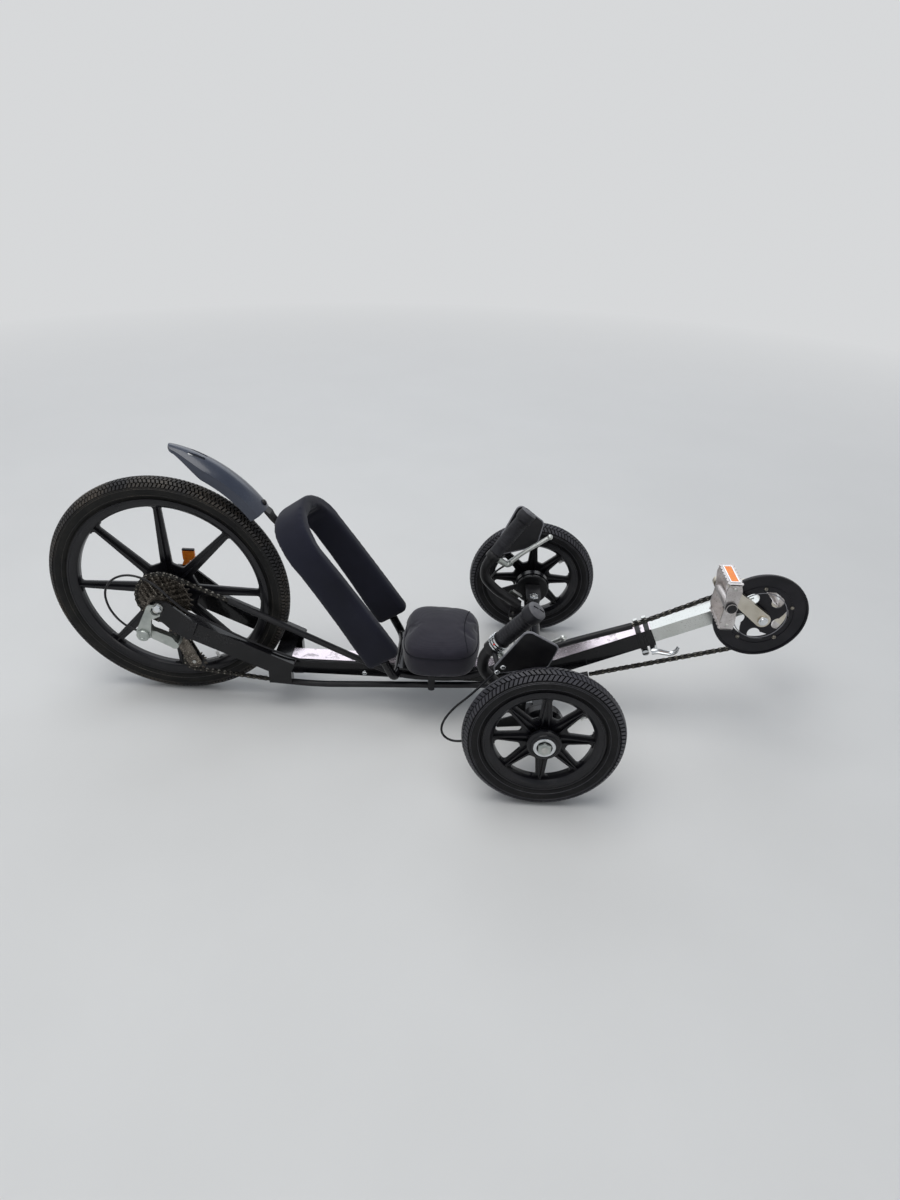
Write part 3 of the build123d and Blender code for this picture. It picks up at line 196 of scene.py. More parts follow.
material("wheel_plastic", (0.004, 0.004, 0.006), (0.009, 0.009, 0.012), 0.30, 20, 500, 0.06, coat=0.12,
         dust=0.04, specular=0.28)
material("grip_rubber", (0.008, 0.008, 0.011), (0.018, 0.018, 0.022), 0.52, 40, 900, 0.3, dust=0.12,
         dust_color=(0.14, 0.14, 0.16), specular=0.35)
material("cap_grey", (0.07, 0.07, 0.08), (0.13, 0.13, 0.14), 0.5, 90, 900, 0.2, dust=0.1)
material("edge_grey", (0.16, 0.16, 0.18), (0.26, 0.26, 0.28), 0.45, 50, 600, 0.1)
# Painted shade: a colour darker than the rubber for recesses, the casing between the tread blocks and the
# slit in a grip's cap
material("painted_groove_shade", (0.0015, 0.0015, 0.0015), (0.004, 0.004, 0.004), 0.85, 60, 500, 0.2, specular=0.1)
material("sidewall", (0.004, 0.004, 0.005), (0.008, 0.008, 0.009), 0.50, 35, 420, 0.2, dust=0.05,
         specular=0.2)
# Tread blocks and sidewall lines: lighter and bluer than the casing, partly from dust and partly a painted
# reflection of the sky
material("tyre", (0.012, 0.012, 0.017), (0.026, 0.025, 0.034), 0.46, 45, 420, 0.2, dust=0.12,
         dust_color=(0.10, 0.10, 0.12), specular=0.7)
material("sidewall_dusty", (0.004, 0.004, 0.004), (0.010, 0.010, 0.009), 0.55, 30, 300, 0.2, dust=0.14,
         dust_color=(0.10, 0.085, 0.065), specular=0.22)
material("tyre_dusty", (0.010, 0.010, 0.012), (0.026, 0.023, 0.020), 0.55, 16, 300, 0.3, dust=0.75,
         dust_color=(0.15, 0.12, 0.09))
material("chain_steel", (0.05, 0.046, 0.040), (0.30, 0.28, 0.24), 0.40, 130, 800, 0.2, metallic=0.9,
         dust=0.3, speck=(0.62, 0.58, 0.50))
material("chain_dark", (0.010, 0.009, 0.008), (0.03, 0.028, 0.025), 0.45, 130, 800, 0.2, metallic=0.6,
         dust=0.2)
material("cog_steel", (0.050, 0.044, 0.038), (0.15, 0.13, 0.11), 0.44, 90, 600, 0.25, metallic=0.85,
         dust=0.3, speck=(0.55, 0.50, 0.43))
material("seat_fabric", (0.0055, 0.006, 0.013), (0.012, 0.013, 0.025), 0.80, 7, 1300, 0.35, dust=0.10,
         dust_color=(0.05, 0.05, 0.07), sheen=0.12, weave=0.0014, specular=0.2)
material("cushion_fabric", (0.012, 0.011, 0.019), (0.026, 0.023, 0.034), 0.84, 9, 1300, 0.4, dust=0.25,
         dust_color=(0.09, 0.08, 0.10), sheen=0.3, weave=0.0016, specular=0.2)
material("piping", (0.006, 0.006, 0.010), (0.014, 0.014, 0.020), 0.7, 60, 1500, 0.4, specular=0.2)
material("mudguard_plastic", (0.022, 0.029, 0.050), (0.036, 0.045, 0.070), 0.30, 8, 400, 0.06, coat=0.35,
         dust=0.15, dust_color=(0.20, 0.21, 0.25))
material("reflector_orange", (0.92, 0.20, 0.015), (1.0, 0.32, 0.03), 0.40, 200, 900, 0.25, coat=0.15,
         specular=0.3)
material("warning_red", (0.6, 0.02, 0.02), (0.8, 0.05, 0.04), 0.3, 200, 900, 0.1)
material("valve_white", (0.70, 0.70, 0.68), (0.82, 0.82, 0.80), 0.4, 200, 900, 0.1)

# Each surface with the starts of the names of the nodes that have it; the longest start that fits counts
NODE_SURFACES = {
    "tyre_dusty": ["tyre_rear"], "tyre": ["tyre_front"], "wheel_plastic": ["rim"],
    "black_plastic": ["chain_tube", "tube_clip", "hand_guard"], "guard_plastic": ["guard_disc"],
    "chain_dark": ["chainring"], "chain_steel": ["chain"], "cog_steel": ["freewheel", "derailleur_cage"],
    "cast_alloy": ["derailleur"], "steel": ["rear_axle", "tie_rod"], "pedal_metal": ["pedal"],
    "bare_aluminium": ["brake_lever", "front_boom"], "crank_metal": ["crank_arms"], "grip_rubber": ["grip"],
    "satin_black": ["brake", "mudguard_bracket", "boom_clamp", "knuckle", "handlebar"],
    "seat_fabric": ["seat_back"], "cushion_fabric": ["seat_cushion"], "mudguard_plastic": ["mudguard"],
    "reflector_orange": ["reflector"], "boom_paint": ["main_boom"],
    "frame_paint": ["seat_frame", "cross_member", "rear_cross_tube", "chainstay"],
}
starts = {start: surface for surface, found in NODE_SURFACES.items() for start in found}
for name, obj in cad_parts.items():
    obj.data.materials.clear()
    fitting = [start for start in starts if name.startswith(start)]
    obj.data.materials.append(MATERIALS[starts[max(fitting, key=len)]])


# Shapes
# A shape is a list of places and a list of faces, in metres, and a part is a shape with its surface.
def polar(radius, turn, x=0.0, y=0.0):
    """The point at a radius and an angle about (x, y)."""
    return x + radius * cos(turn), y + radius * sin(turn)


def circle(radius, count=96, first=0.0):
    return [polar(radius, first + tau * k / count) for k in range(count)]


def loft(rows, capped=True):
    """Joins rows of places, each a closed ring with the same count."""
    count = len(rows[0])
    verts = [Vector(place) for row in rows for place in row]
    faces = []
    for start in range(0, len(verts) - count, count):
        for k in range(count):
            n = (k + 1) % count
            faces.append([start + k, start + n, start + count + n, start + count + k])
    if capped:
        faces += [list(range(count))[::-1], list(range(len(verts) - count, len(verts)))]
    return verts, faces


def lathe(profile, steps=48, closed=False):
    """Turns (radius, height) points about z. A radius of zero closes an end."""
    verts, faces, rows = [], [], []
    for radius, height in profile:
        row = [Vector((x, y, height)) for x, y in circle(radius, steps if radius > 1e-7 else 1)]
        rows.append([len(verts) + k % len(row) for k in range(steps)])
        verts += row
    for low, high in list(zip(rows, rows[1:])) + ([(rows[-1], rows[0])] if closed else []):
        for k in range(steps):
            n = (k + 1) % steps
            face = list(dict.fromkeys((low[k], low[n], high[n], high[k])))
            if len(face) > 2:
                faces.append(face)
    return verts, faces


def turned(points, steps=48, closed=False):
    """Turns (radius, height) points in millimetres."""
    return lathe([(radius / 1000, height / 1000) for radius, height in points], steps, closed)


def slab(outline, low, high, chamfer=0.0):
    """A plate from an (x, y) outline, with chamfered rims made by moving its corners inward."""
    corners = [Vector(point) for point in outline]
    trios = list(zip(corners[-1:] + corners[:-1], corners, corners[1:] + corners[:1]))
    inward = copysign(chamfer, sum(a.x * b.y - b.x * a.y for a, b, c in trios))
    inner = []
    for before, here, after in trios:
        along = (here - before).normalized() + (after - here).normalized()
        inner.append(here + Vector((-along.y, along.x)).normalized() * inward)
    levels = [(corners, low + chamfer), (corners, high - chamfer)]
    if chamfer:
        levels = [(inner, low)] + levels + [(inner, high)]
    return loft([[Vector((point.x, point.y, z)) for point in row] for row, z in levels])


def rectangle(half_x, half_y):
    return [(-half_x, -half_y), (half_x, -half_y), (half_x, half_y), (-half_x, half_y)]


def box(x, y, z, chamfer):
    """A block about the origin, from millimetres."""
    return slab(rectangle(x / 2000, y / 2000), -z / 2000, z / 2000, chamfer / 1000)


def bolt_head(radius, height, dome=False):
    """A bolt head that stands on the plane z = 0, six-sided or domed, from millimetres."""
    if dome:
        return turned([(radius, 0), (radius, height * 0.25), (radius * 0.86, height * 0.65),
                       (radius * 0.55, height * 0.92), (0, height)], 20)
    return slab(circle(radius / 1000, 6, pi / 6), 0, height / 1000, radius * 0.08 / 1000)


def rounded(outline, radius, steps=5):
    """Rounds the corners of an outline of (x, y) points."""
    line = []
    for k in range(len(outline)):
        here = Vector(outline[k])
        back = (Vector(outline[k - 1]) - here).normalized()
        ahead = (Vector(outline[(k + 1) % len(outline)]) - here).normalized()
        half = acos(max(-1.0, min(1.0, back.dot(ahead)))) / 2
        reach = radius / tan(half)
        centre = here + (back + ahead).normalized() * radius / sin(half)
        first, last = here + back * reach - centre, here + ahead * reach - centre
        begin = atan2(first.y, first.x)
        sweep = (atan2(last.y, last.x) - begin + pi) % tau - pi
        line += [polar(radius, begin + sweep * step / steps, *centre) for step in range(steps + 1)]
    return line


def smooth_path(points, steps=8):
    """A Catmull-Rom curve through the points."""
    ends = [points[0] * 2 - points[1]] + list(points) + [points[-1] * 2 - points[-2]]
    path = []
    for a, b, c, d in zip(ends, ends[1:], ends[2:], ends[3:]):
        for t in (step / steps for step in range(steps)):
            path.append(0.5 * (2 * b + (c - a) * t + (2 * a - 5 * b + 4 * c - d) * t ** 2
                               + (3 * b - a - 3 * c + d) * t ** 3))
    return path + [points[-1]]


def pipe(path, radius, sides=10, squeeze=1.0):
    """A round bar along a path; the radius may be one number or one for each place."""
    radii = radius if isinstance(radius, list) else [radius] * len(path)
    rows, side = [], None
    for k, place in enumerate(path):
        ahead = (path[min(k + 1, len(path) - 1)] - path[max(k - 1, 0)]).normalized()
        if side is None:
            side = ahead.orthogonal().normalized()
        side = (side - ahead * side.dot(ahead)).normalized()
        other = ahead.cross(side)
        rows.append([place + u * side + squeeze * v * other for u, v in circle(radii[k], sides)])
    return loft(rows)


def placed(shape, matrix):
    return [matrix @ v for v in shape[0]], shape[1]


def moved(parts, matrix):
    return [(placed(shape, matrix), surface) for shape, surface in parts]


def joined(*shapes):
    verts, faces = [], []
    for more, rings in shapes:
        start = len(verts)
        verts += more
        faces += [[start + k for k in ring] for ring in rings]
    return verts, faces


def stand(origin, z_dir, x_dir=(1, 0, 0)):
    """The placement whose z axis points along z_dir."""
    z = Vector(z_dir).normalized()
    x = Vector(x_dir)
    x = x - z * x.dot(z)
    x = x.normalized() if x.length > 1e-6 else z.orthogonal().normalized()
    return Matrix.Translation(origin) @ Matrix((x, z.cross(x), z)).transposed().to_4x4()


def fitted(surface, shape, origin, z_dir, x_dir=(1, 0, 0)):
    """A part that stands at an origin with its z axis along z_dir."""
    return placed(shape, stand(origin, z_dir, x_dir)), surface


def plain_mesh(name, shape):
    mesh = bpy.data.meshes.new(name)
    mesh.from_pydata([tuple(v) for v in shape[0]], [], shape[1])
    return mesh


def smooth(mesh):
    mesh.polygons.foreach_set("use_smooth", [True] * len(mesh.polygons))


def evaluated_mesh(obj):
    """The mesh that an object has with its modifiers, which are then taken off."""
    mesh = bpy.data.meshes.new_from_object(obj.evaluated_get(bpy.context.evaluated_depsgraph_get()))
    obj.modifiers.clear()
    return mesh


def piece(name, parts, body, angle=35.0, replaces=()):
    """Makes an object of parts that rides on a body, smooth but for edges over the angle."""
    mesh = plain_mesh(name, joined(*(shape for shape, surface in parts)))
    mesh.update()
    work = bmesh.new()
    work.from_mesh(mesh)
    bmesh.ops.recalc_face_normals(work, faces=work.faces)
    work.to_mesh(mesh)
    work.free()
    smooth(mesh)
    mesh.set_sharp_from_angle(angle=radians(angle))
    surfaces = list(dict.fromkeys(surface for shape, surface in parts))
    for surface in surfaces:
        mesh.materials.append(MATERIALS[surface])
    mesh.polygons.foreach_set("material_index", [surfaces.index(surface) for shape, surface in parts
                                                 for face in shape[1]])
    obj = link(bpy.data.objects.new(name, mesh))
    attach(obj, body)
    if replaces:
        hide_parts(*replaces)
    return obj


def mirrored(parts, side):
    """The parts themselves for the left side, their mirror images for the right one."""
    if side > 0:
        return parts
    return [(([Vector((v.x, -v.y, v.z)) for v in verts], [face[::-1] for face in faces]), surface)
            for (verts, faces), surface in parts]


# Tyres
FRONT_TYRE = (0.1283, 0.0217)
REAR_TYRE = (0.2273, 0.0227)
TREAD_DEPTH = 0.0021
TREAD_EDGE = 66.0
SIDEWALL_LINES = (71.0, 78.0, 116.0)
LINE_RADIUS = 0.0006
BEAD_HALF = 0.0132
# (height in the casing's section, share of the outline) of a tread block from its foot to its top
BLOCK_LEVELS = ((-TREAD_DEPTH - 0.0003, 1.0), (-0.0005, 0.97), (0.0, 0.84))


def tyre_parts(ring, section, columns, pitch, slant, block_length, half_arc, surfaces):
    """A tyre about z: a casing with ringed sidewalls, and slanted tread blocks in columns across its crown.

    ring and section are the radii of its round section's centre line and of the section itself, and surfaces
    are those of the grooves, the sidewalls and the blocks."""
    body = section - TREAD_DEPTH
    start = acos(-0.76)
    walls, crown = ([], []), []
    for k in range(57):
        turn = start * (k / 28 - 1)
        point = polar(body, turn, ring)
        if abs(degrees(turn)) <= TREAD_EDGE + 2:
            crown.append(point)
        if abs(degrees(turn)) > TREAD_EDGE - 1:
            walls[turn > 0].append(point)
    low = ring - section * 0.80 - 0.004
    blocks = []
    outer = ring + section
    count = round(tau * outer / pitch)
    width = 2 * half_arc / columns
    for column in range(columns):
        middle = -half_arc + width * (column + 0.5)
        lean, stagger = (slant, 0.5) if column % 2 else (-slant, 0.0)
        for index in range(count):
            rows = []
            for level, shrink in BLOCK_LEVELS:
                row = []
                for u, v in rectangle(0.45 * width, block_length / 2):
                    turn = (middle + u * shrink) / section
                    theta = (index + stagger) * tau / count + (v + lean * u) * shrink / outer
                    reach, height = polar(section + level, turn, ring)
                    row.append(Vector((*polar(reach, theta), height)))
                rows.append(row)
            verts, faces = loft(rows, capped=False)
            blocks.append((verts, faces + [[8, 9, 10, 11]]))
    parts = [(lathe(crown, 160), surfaces[0]),
             (lathe([(low, BEAD_HALF), (low, -BEAD_HALF)] + walls[0] + [crown[0]], 160), surfaces[1]),
             (lathe([crown[-1]] + walls[1] + [(low, BEAD_HALF)], 160), surfaces[1]),
             (joined(*blocks), surfaces[2])]
    for side in (-1, 1):
        for turn in (radians(angle) for angle in SIDEWALL_LINES):
            x, y = polar(body, turn, ring)
            line = [polar(LINE_RADIUS, pi * k / 3, x, side * y) for k in range(6)]
            parts.append((lathe(line, 160, closed=True), surfaces[2]))
    return parts


CAMBER = radians(2.0)
FRONT_WHEEL_Y, FRONT_HUB_Z = 293.8, 149.92
front_tyre = tyre_parts(*FRONT_TYRE, 4, 0.0092, 0.6, 0.0072, 0.0240, ("painted_groove_shade", "sidewall", "tyre"))
rear_tyre = tyre_parts(*REAR_TYRE, 6, 0.0086, 0.35, 0.0062, 0.0262,
                       ("painted_groove_shade", "sidewall_dusty", "tyre_dusty"))
spins = {name: stand(at(0, side * FRONT_WHEEL_Y, FRONT_HUB_Z), (0, side * cos(CAMBER), sin(CAMBER)))
         for name, side in SIDES.items()}
rear_spin = stand(at(REAR_AXLE_X, 0, REAR_RADIUS), (0, -1, 0))
for name in SIDES:
    piece(f"tread_front_{name}", moved(front_tyre, spins[name]), f"wheel_front_{name}",
          replaces=[f"tyre_front_{name}"])
piece("tread_rear", moved(rear_tyre, rear_spin), "wheel_rear", replaces=["tyre_rear"])


# Chain
PITCH = 12.7
CHAIN_Y = -41.0
PULLEYS = ((-750.0, 161.0), (-727.0, 98.0))
PULLEY_RADIUS = 22.54
BRACKET_X, BRACKET_Z = 428.0, 284.0
# (x, z, radius, sense) in millimetres: the mouths of the tubes and the wheels that the chain passes
FRONT_ROUTE = [(179.3, 237.2, 0.0, 1), (BRACKET_X, BRACKET_Z, 72.86, -1), (105.2, 110.5, 0.0, 1)]
REAR_ROUTE = [(-633.5, 249.8, 0.0, 1), (REAR_AXLE_X, REAR_RADIUS, 56.71, 1),
              (*PULLEYS[0], PULLEY_RADIUS, -1), (*PULLEYS[1], PULLEY_RADIUS, 1), (-557.0, 55.7, 0.0, 1)]


def chain_pieces(route):
    """Straight runs and arcs of a route, each as its length and a function from length to (x, z)."""
    runs = []
    for (ax, az, a_radius, a_sense), (bx, bz, b_radius, b_sense) in zip(route, route[1:]):
        bow = asin((b_sense * b_radius - a_sense * a_radius) / hypot(bx - ax, bz - az))
        square = atan2(bz - az, bx - ax) - bow + pi / 2
        runs.append((polar(-a_sense * a_radius, square, ax, az), polar(-b_sense * b_radius, square, bx, bz)))
    found = []
    for k, (start, end) in enumerate(runs):
        ahead = (Vector(end) - Vector(start)).normalized()
        found.append((dist(start, end), lambda s, a=Vector(start), d=ahead: a + d * s))
        if k + 1 < len(runs):
            x, z, radius, sense = route[k + 1]
            begin = atan2(end[1] - z, end[0] - x)
            stop = atan2(runs[k + 1][0][1] - z, runs[k + 1][0][0] - x)
            found.append((radius * ((stop - begin) * sense % tau),
                          lambda s, x=x, z=z, r=radius, b=begin, q=sense: polar(r, b + q * s / r, x, z)))
    return found


def pins(route):
    """Pin places a pitch apart, with one in the middle of the first arc."""
    found = chain_pieces(route)
    total = sum(length for length, point in found)
    distance = (found[0][0] + found[1][0] / 2) % PITCH
    places = []
    while distance < total:
        rest = distance
        for length, point in found:
            if rest <= length:
                x, z = point(rest)
                places.append(at(x, CHAIN_Y, z))
                break
            rest -= length
        distance += PITCH
    return places


def link_plates(offset):
    """The two side plates of a link, from its first pin along x."""
    outline = []
    for centre, first, waist in ((0.0, 115, -0.0029), (PITCH / 1000, -65, 0.0029)):
        outline += [polar(0.0041, radians(first + 130 * k / 6), centre) for k in range(7)]
        outline.append((PITCH / 2000, waist))
    return joined(*(slab(outline, side * offset - 0.00045, side * offset + 0.00045) for side in (1, -1)))


outer_link, inner_link = link_plates(0.0033), link_plates(0.0022)
roller = turned([(0, -4.0), (1.7, -4.0), (1.7, -2.4), (3.8, -1.7), (3.8, 1.7), (1.7, 2.4), (1.7, 4.0),
                 (0, 4.0)], 10)
chain_parts = []
for route in (FRONT_ROUTE, REAR_ROUTE):
    places = pins(route)
    chain_parts += [fitted("chain_steel", roller, here, (0, 1, 0)) for here in places]
    chain_parts += [fitted("chain_dark", outer_link if k % 2 else inner_link, here, (0, -1, 0), ahead - here)
                    for k, (here, ahead) in enumerate(zip(places, places[1:]))]
piece("chain_links", chain_parts, "frame", replaces=["chain"])


# Wheels
SPOKES = 8
SPOKE_HALF = 0.0075
WEB_THICKNESS = 0.007
RIM_HALF = 0.0160
FLANGE_HALF = 0.0135
RIB_START = 0.0255
RIB_END_HALF = 0.0010
CORNER_RADIUS = 0.0060


def outline_plate(outlines, thickness, bevel):
    """A plate about z = 0 with bevelled edges; its first outline is its rim, the others are its openings."""
    curve = bpy.data.curves.new("outline", "CURVE")
    curve.dimensions, curve.fill_mode = "2D", "BOTH"
    curve.extrude, curve.bevel_depth, curve.bevel_resolution = thickness / 2 - bevel, bevel, 1
    curve.offset = -bevel
    for outline in outlines:
        spline = curve.splines.new("POLY")
        spline.points.add(len(outline) - 1)
        for point, (x, y) in zip(spline.points, outline):
            point.co = (x, y, 0, 1)
        spline.use_cyclic_u = True
    holder = link(bpy.data.objects.new("outline", curve))
    mesh = evaluated_mesh(holder)
    shape = [v.co.copy() for v in mesh.vertices], [list(p.vertices) for p in mesh.polygons]
    bpy.data.objects.remove(holder)
    bpy.data.curves.remove(curve)
    bpy.data.meshes.remove(mesh)
    return shape


def window_outline(window, foot, foot_half):
    """One arched opening between two spokes, along x: wide at the rim, narrow at its foot."""
    lean = pi / SPOKES - asin(SPOKE_HALF / window)
    arch = [polar(window, lean * k / 6) for k in range(-6, 7)]
    outline = rounded(arch[:1] + [(foot, -foot_half), (foot, foot_half)] + arch[-1:], CORNER_RADIUS)
    outline = [p for p in outline if hypot(*p) < window * 0.985] + [
        (x * 0.998, y * 0.998) for x, y in arch if abs(atan2(y, x)) < lean - CORNER_RADIUS / window]
    return sorted(outline, key=lambda p: atan2(p[1], p[0] - (foot + window) / 2))


def mag_wheel(ring, section, bead_seat, window, foot, foot_half, ribs, hub_profile):
    """A moulded wheel about z: a channel rim with a lip, spokes between arched windows, ribs and a hub.

    ribs are (y at the hub, y at the rim, half width at the hub) of those on each spoke."""
    flange_top = ring - sqrt(section ** 2 - FLANGE_HALF ** 2) - 0.0003
    half_channel = [(window, 0.0090), (window + 0.001, 0.0105), (bead_seat - 0.0025, RIM_HALF),
                    (flange_top - 0.0034, RIM_HALF), (flange_top - 0.0030, RIM_HALF + 0.0010),
                    (flange_top, RIM_HALF + 0.0006), (flange_top, FLANGE_HALF), (bead_seat, FLANGE_HALF)]
    opening = window_outline(window, foot, foot_half)
    windows = [[polar(hypot(x, y), atan2(y, x) + tau * (k + 0.5) / SPOKES) for x, y in opening]
               for k in range(SPOKES)]
    shapes = [lathe([(r, -z) for r, z in half_channel] + half_channel[::-1], 128, closed=True),
              outline_plate([circle(window + 0.002)] + windows, WEB_THICKNESS, 0.0008),
              turned(hub_profile, 64, closed=True)]
    end = window + 0.0015
    for y_hub, y_rim, half in ribs:
        top = [Vector(point) for point in (
            (RIB_START, y_hub - half, 0.0088), (end, y_rim - RIB_END_HALF, 0.0085),
            (end, y_rim + RIB_END_HALF, 0.0085), (RIB_START, y_hub + half, 0.0088))]
        rib = loft([[Vector((v.x, v.y, -v.z)) for v in top], top])
        shapes += [placed(rib, Matrix.Rotation(tau * k / SPOKES, 4, "Z")) for k in range(SPOKES)]
    return joined(*shapes)


FRONT_HUB = [(7.5, -45.0), (40.0, -45.0), (40.0, -31.0), (22.0, -22.0), (22.0, 12.0), (30.5, 15.5),
             (31.5, 16.5), (31.5, 23.2), (30.3, 24.4), (25.5, 25.5), (25.0, 27.2), (24.0, 28.0), (7.5, 28.0)]
REAR_HUB = [(5.2, -36.0), (14.0, -36.0), (16.0, -30.0), (30.0, -12.0), (30.0, 12.0), (20.0, 30.0),
            (18.0, 33.0), (16.0, 60.0), (13.0, 66.0), (5.2, 66.0)]
front_wheel = mag_wheel(*FRONT_TYRE, 0.1015, 0.0920, 0.046, 0.0062,
                        [(-0.0070, -0.0012, 0.0014), (0.0070, 0.0012, 0.0014)], FRONT_HUB)
rear_wheel = mag_wheel(*REAR_TYRE, 0.2030, 0.1900, 0.060, 0.0120, [(0.0, 0.0, 0.0024)], REAR_HUB)
for name in SIDES:
    piece(f"wheel_disc_{name}", [(placed(front_wheel, spins[name]), "wheel_plastic")], f"wheel_front_{name}",
          replaces=[f"rim_front_{name}"])
piece("wheel_disc_rear", [fitted("wheel_plastic", rear_wheel, at(REAR_AXLE_X, 0, REAR_RADIUS), (0, 1, 0))],
      "wheel_rear", replaces=["rim_rear"])


def valve(radius, length):
    """A valve stem along x, from a rim's well towards its hub, with a white cap. In millimetres."""
    well = (radius / 1000, 0, 0)
    stem = turned([(0, 0), (2.8, 0), (2.8, length * 0.6), (0, length * 0.6)], 12)
    cap = turned([(0, length * 0.5), (3.4, length * 0.5), (3.4, length * 0.94), (2.4, length), (0, length)],
                 12)
    return [fitted("black_plastic", stem, well, (-1, 0, 0)), fitted("valve_white", cap, well, (-1, 0, 0))]


for name, side in SIDES.items():
    spot = spins[name] @ Matrix.Rotation(radians(-36.0 * side), 4, "Z")
    piece(f"valve_{name}", moved(valve(98.5, 21.0), spot), f"wheel_front_{name}")
piece("valve_rear", moved(valve(200.5, 26.0), rear_spin @ Matrix.Rotation(radians(-64.0), 4, "Z")),
      "wheel_rear")


# Seat
LEAN = radians(56.0)
SEAT_FOOT = at(-313.5, 0, 154.0)
SEAT_UP = Vector((-cos(LEAN), 0, sin(LEAN)))
SEAT_OUT = Vector((sin(LEAN), 0, cos(LEAN)))
# (height along the seat back, rear face, front face) in millimetres
SEAT_FACES = [(-4.0, -40.0, 41.0), (60.0, -38.0, 42.5), (121.0, -33.5, 43.0), (200.0, -29.5, 43.0),
              (256.0, -28.0, 42.0), (300.0, -29.0, 40.0), (336.0, -34.0, 37.0), (352.0, -36.0, 36.0)]
# How full the section is, and how far it is moved down, at the rows nearest to each foot
FOOT_STEPS = [(0.86, -3.6), (0.955, -8.6), (0.99, -9.0)]
HOOP_HALF, HOOP_TOP, HOOP_RADIUS, HOOP_LOW, HOOP_STEP = 85.0, 336.0, 72.0, 3.0, 9.0
BAND_HALF = 14.4
FACE_MARGIN = 1.5


def seat_faces(height):
    """Where the rear and front faces lie at a height, in straight lines between the entries."""
    for low, high in zip(SEAT_FACES, SEAT_FACES[1:]):
        if height <= high[0]:
            share = max(0.0, (height - low[0]) / (high[0] - low[0]))
            return [a + (b - a) * share for a, b in zip(low[1:], high[1:])]
    return SEAT_FACES[-1][1:]


def seat_place(across, height, out):
    return SEAT_FOOT + Vector((0, 1, 0)) * across / 1000 + SEAT_UP * height / 1000 + SEAT_OUT * out / 1000


def hoop_line():
    """Places (across, height) and outward directions along the hoop, from its left foot to its right one."""
    straight = HOOP_TOP - HOOP_RADIUS - HOOP_LOW
    count = int(straight / HOOP_STEP)
    line = [(HOOP_HALF, HOOP_LOW + straight * k / count, 1.0, 0.0) for k in range(count)]
    count = int(HOOP_RADIUS * pi / 2 / HOOP_STEP * 1.4)
    for turn in (pi / 2 * k / count for k in range(count + 1)):
        corner = polar(HOOP_RADIUS, turn, HOOP_HALF - HOOP_RADIUS, HOOP_TOP - HOOP_RADIUS)
        line.append((*corner, *polar(1.0, turn)))
    return line + [(0.0, HOOP_TOP, 0.0, 1.0)] + [(-a, h, -na, nh) for a, h, na, nh in reversed(line)]


def soft_ring(half_x, half_y, power, count):
    """A rounded rectangle about the origin as (x, y) points."""
    return [(half_x * copysign(abs(c) ** (2 / power), c), half_y * copysign(abs(s) ** (2 / power), s))
            for c, s in circle(1.0, count)]


hoop = hoop_line()
hoop_rows = []
for k, (across, height, na, nh) in enumerate(hoop):
    steps_in = min(k, len(hoop) - 1 - k)
    swell, drop = FOOT_STEPS[steps_in] if steps_in < len(FOOT_STEPS) else (1.0, 0.0)
    rear, front = seat_faces(height)
    ring = soft_ring(BAND_HALF * swell, ((front - rear) / 2 - FACE_MARGIN) * swell, 7.0, 48)
    middle = (rear + front) / 2
    hoop_rows.append([seat_place(across + na * r, height + nh * r + drop, middle + v) for r, v in ring])
seat_cover = piece("seat_cover", [(loft(hoop_rows), "seat_fabric")], "frame", angle=80,
                   replaces=["seat_back"])


def cushion_ring(half_x, half_y, power, count=64):
    """An outline about the cushion's middle that narrows towards its front."""
    return [(x, y * (1.0 - 0.0009 * max(0.0, x))) for x, y in soft_ring(half_x, half_y, power, count)]


# (height, share of the outline) of the cushion from its base to its crown
CUSHION_LEVELS = [(119.5, 0.84), (120.2, 0.92), (125.0, 0.965), (135.0, 0.99), (149.0, 1.0), (162.0, 0.995),
                  (171.0, 0.98), (177.5, 0.95), (182.0, 0.90), (185.3, 0.80), (187.4, 0.62), (188.6, 0.42),
                  (189.0, 0.20)]
cushion_rows = [[at(-202.5 + x, y, height) for x, y in cushion_ring(77.5 * share, 99.0 * share, 4.0)]
                for height, share in CUSHION_LEVELS]
cushion = piece("cushion", [(loft(cushion_rows), "cushion_fabric")], "frame", angle=80,
                replaces=["seat_cushion"])
VOXEL = 0.0048
PRESSURE = 3.0
CLOTH_FRAMES = 20


def inflate(obj, cap):
    """Remeshes a soft piece evenly and blows it up as cloth, each point by no more than cap metres."""
    remesh = obj.modifiers.new("even", "REMESH")
    remesh.mode, remesh.voxel_size = "VOXEL", VOXEL
    even = evaluated_mesh(obj)
    surfaces = list(obj.data.materials)
    obj.data = even
    even.materials.clear()
    for surface in surfaces:
        even.materials.append(surface)
    cloth = obj.modifiers.new("cloth", "CLOTH")
    cloth.settings.use_pressure = True
    cloth.settings.uniform_pressure_force = PRESSURE
    cloth.settings.effector_weights.gravity = 0.0
    cloth.settings.quality = 5
    cloth.point_cache.frame_start, cloth.point_cache.frame_end = 1, CLOTH_FRAMES
    for number in range(1, CLOTH_FRAMES + 1):
        bpy.context.scene.frame_set(number)
    graph = bpy.context.evaluated_depsgraph_get()
    blown = [v.co.copy() for v in obj.evaluated_get(graph).data.vertices]
    obj.modifiers.clear()
    bpy.context.scene.frame_set(1)
    for vertex, after in zip(even.vertices, blown):
        move = after - vertex.co
        vertex.co += move.normalized() * min(move.length, cap)
    smooth(even)
    finer = obj.modifiers.new("finer", "SUBSURF")
    finer.levels = finer.render_levels = 1
    obj.data = evaluated_mesh(obj)
    smooth(obj.data)


inflate(seat_cover, 0.0022)
inflate(cushion, 0.0045)


def laid_on(obj, drops):
    """Drops places along directions onto a piece, and lifts them off it again by a small distance."""
    target = obj.evaluated_get(bpy.context.evaluated_depsgraph_get())
    found = []
    for place, direction in drops:
        way = direction.normalized()
        hit, spot, normal, index = target.ray_cast(place, way)
        if hit:
            found.append(spot - way * 0.0002)
    return found


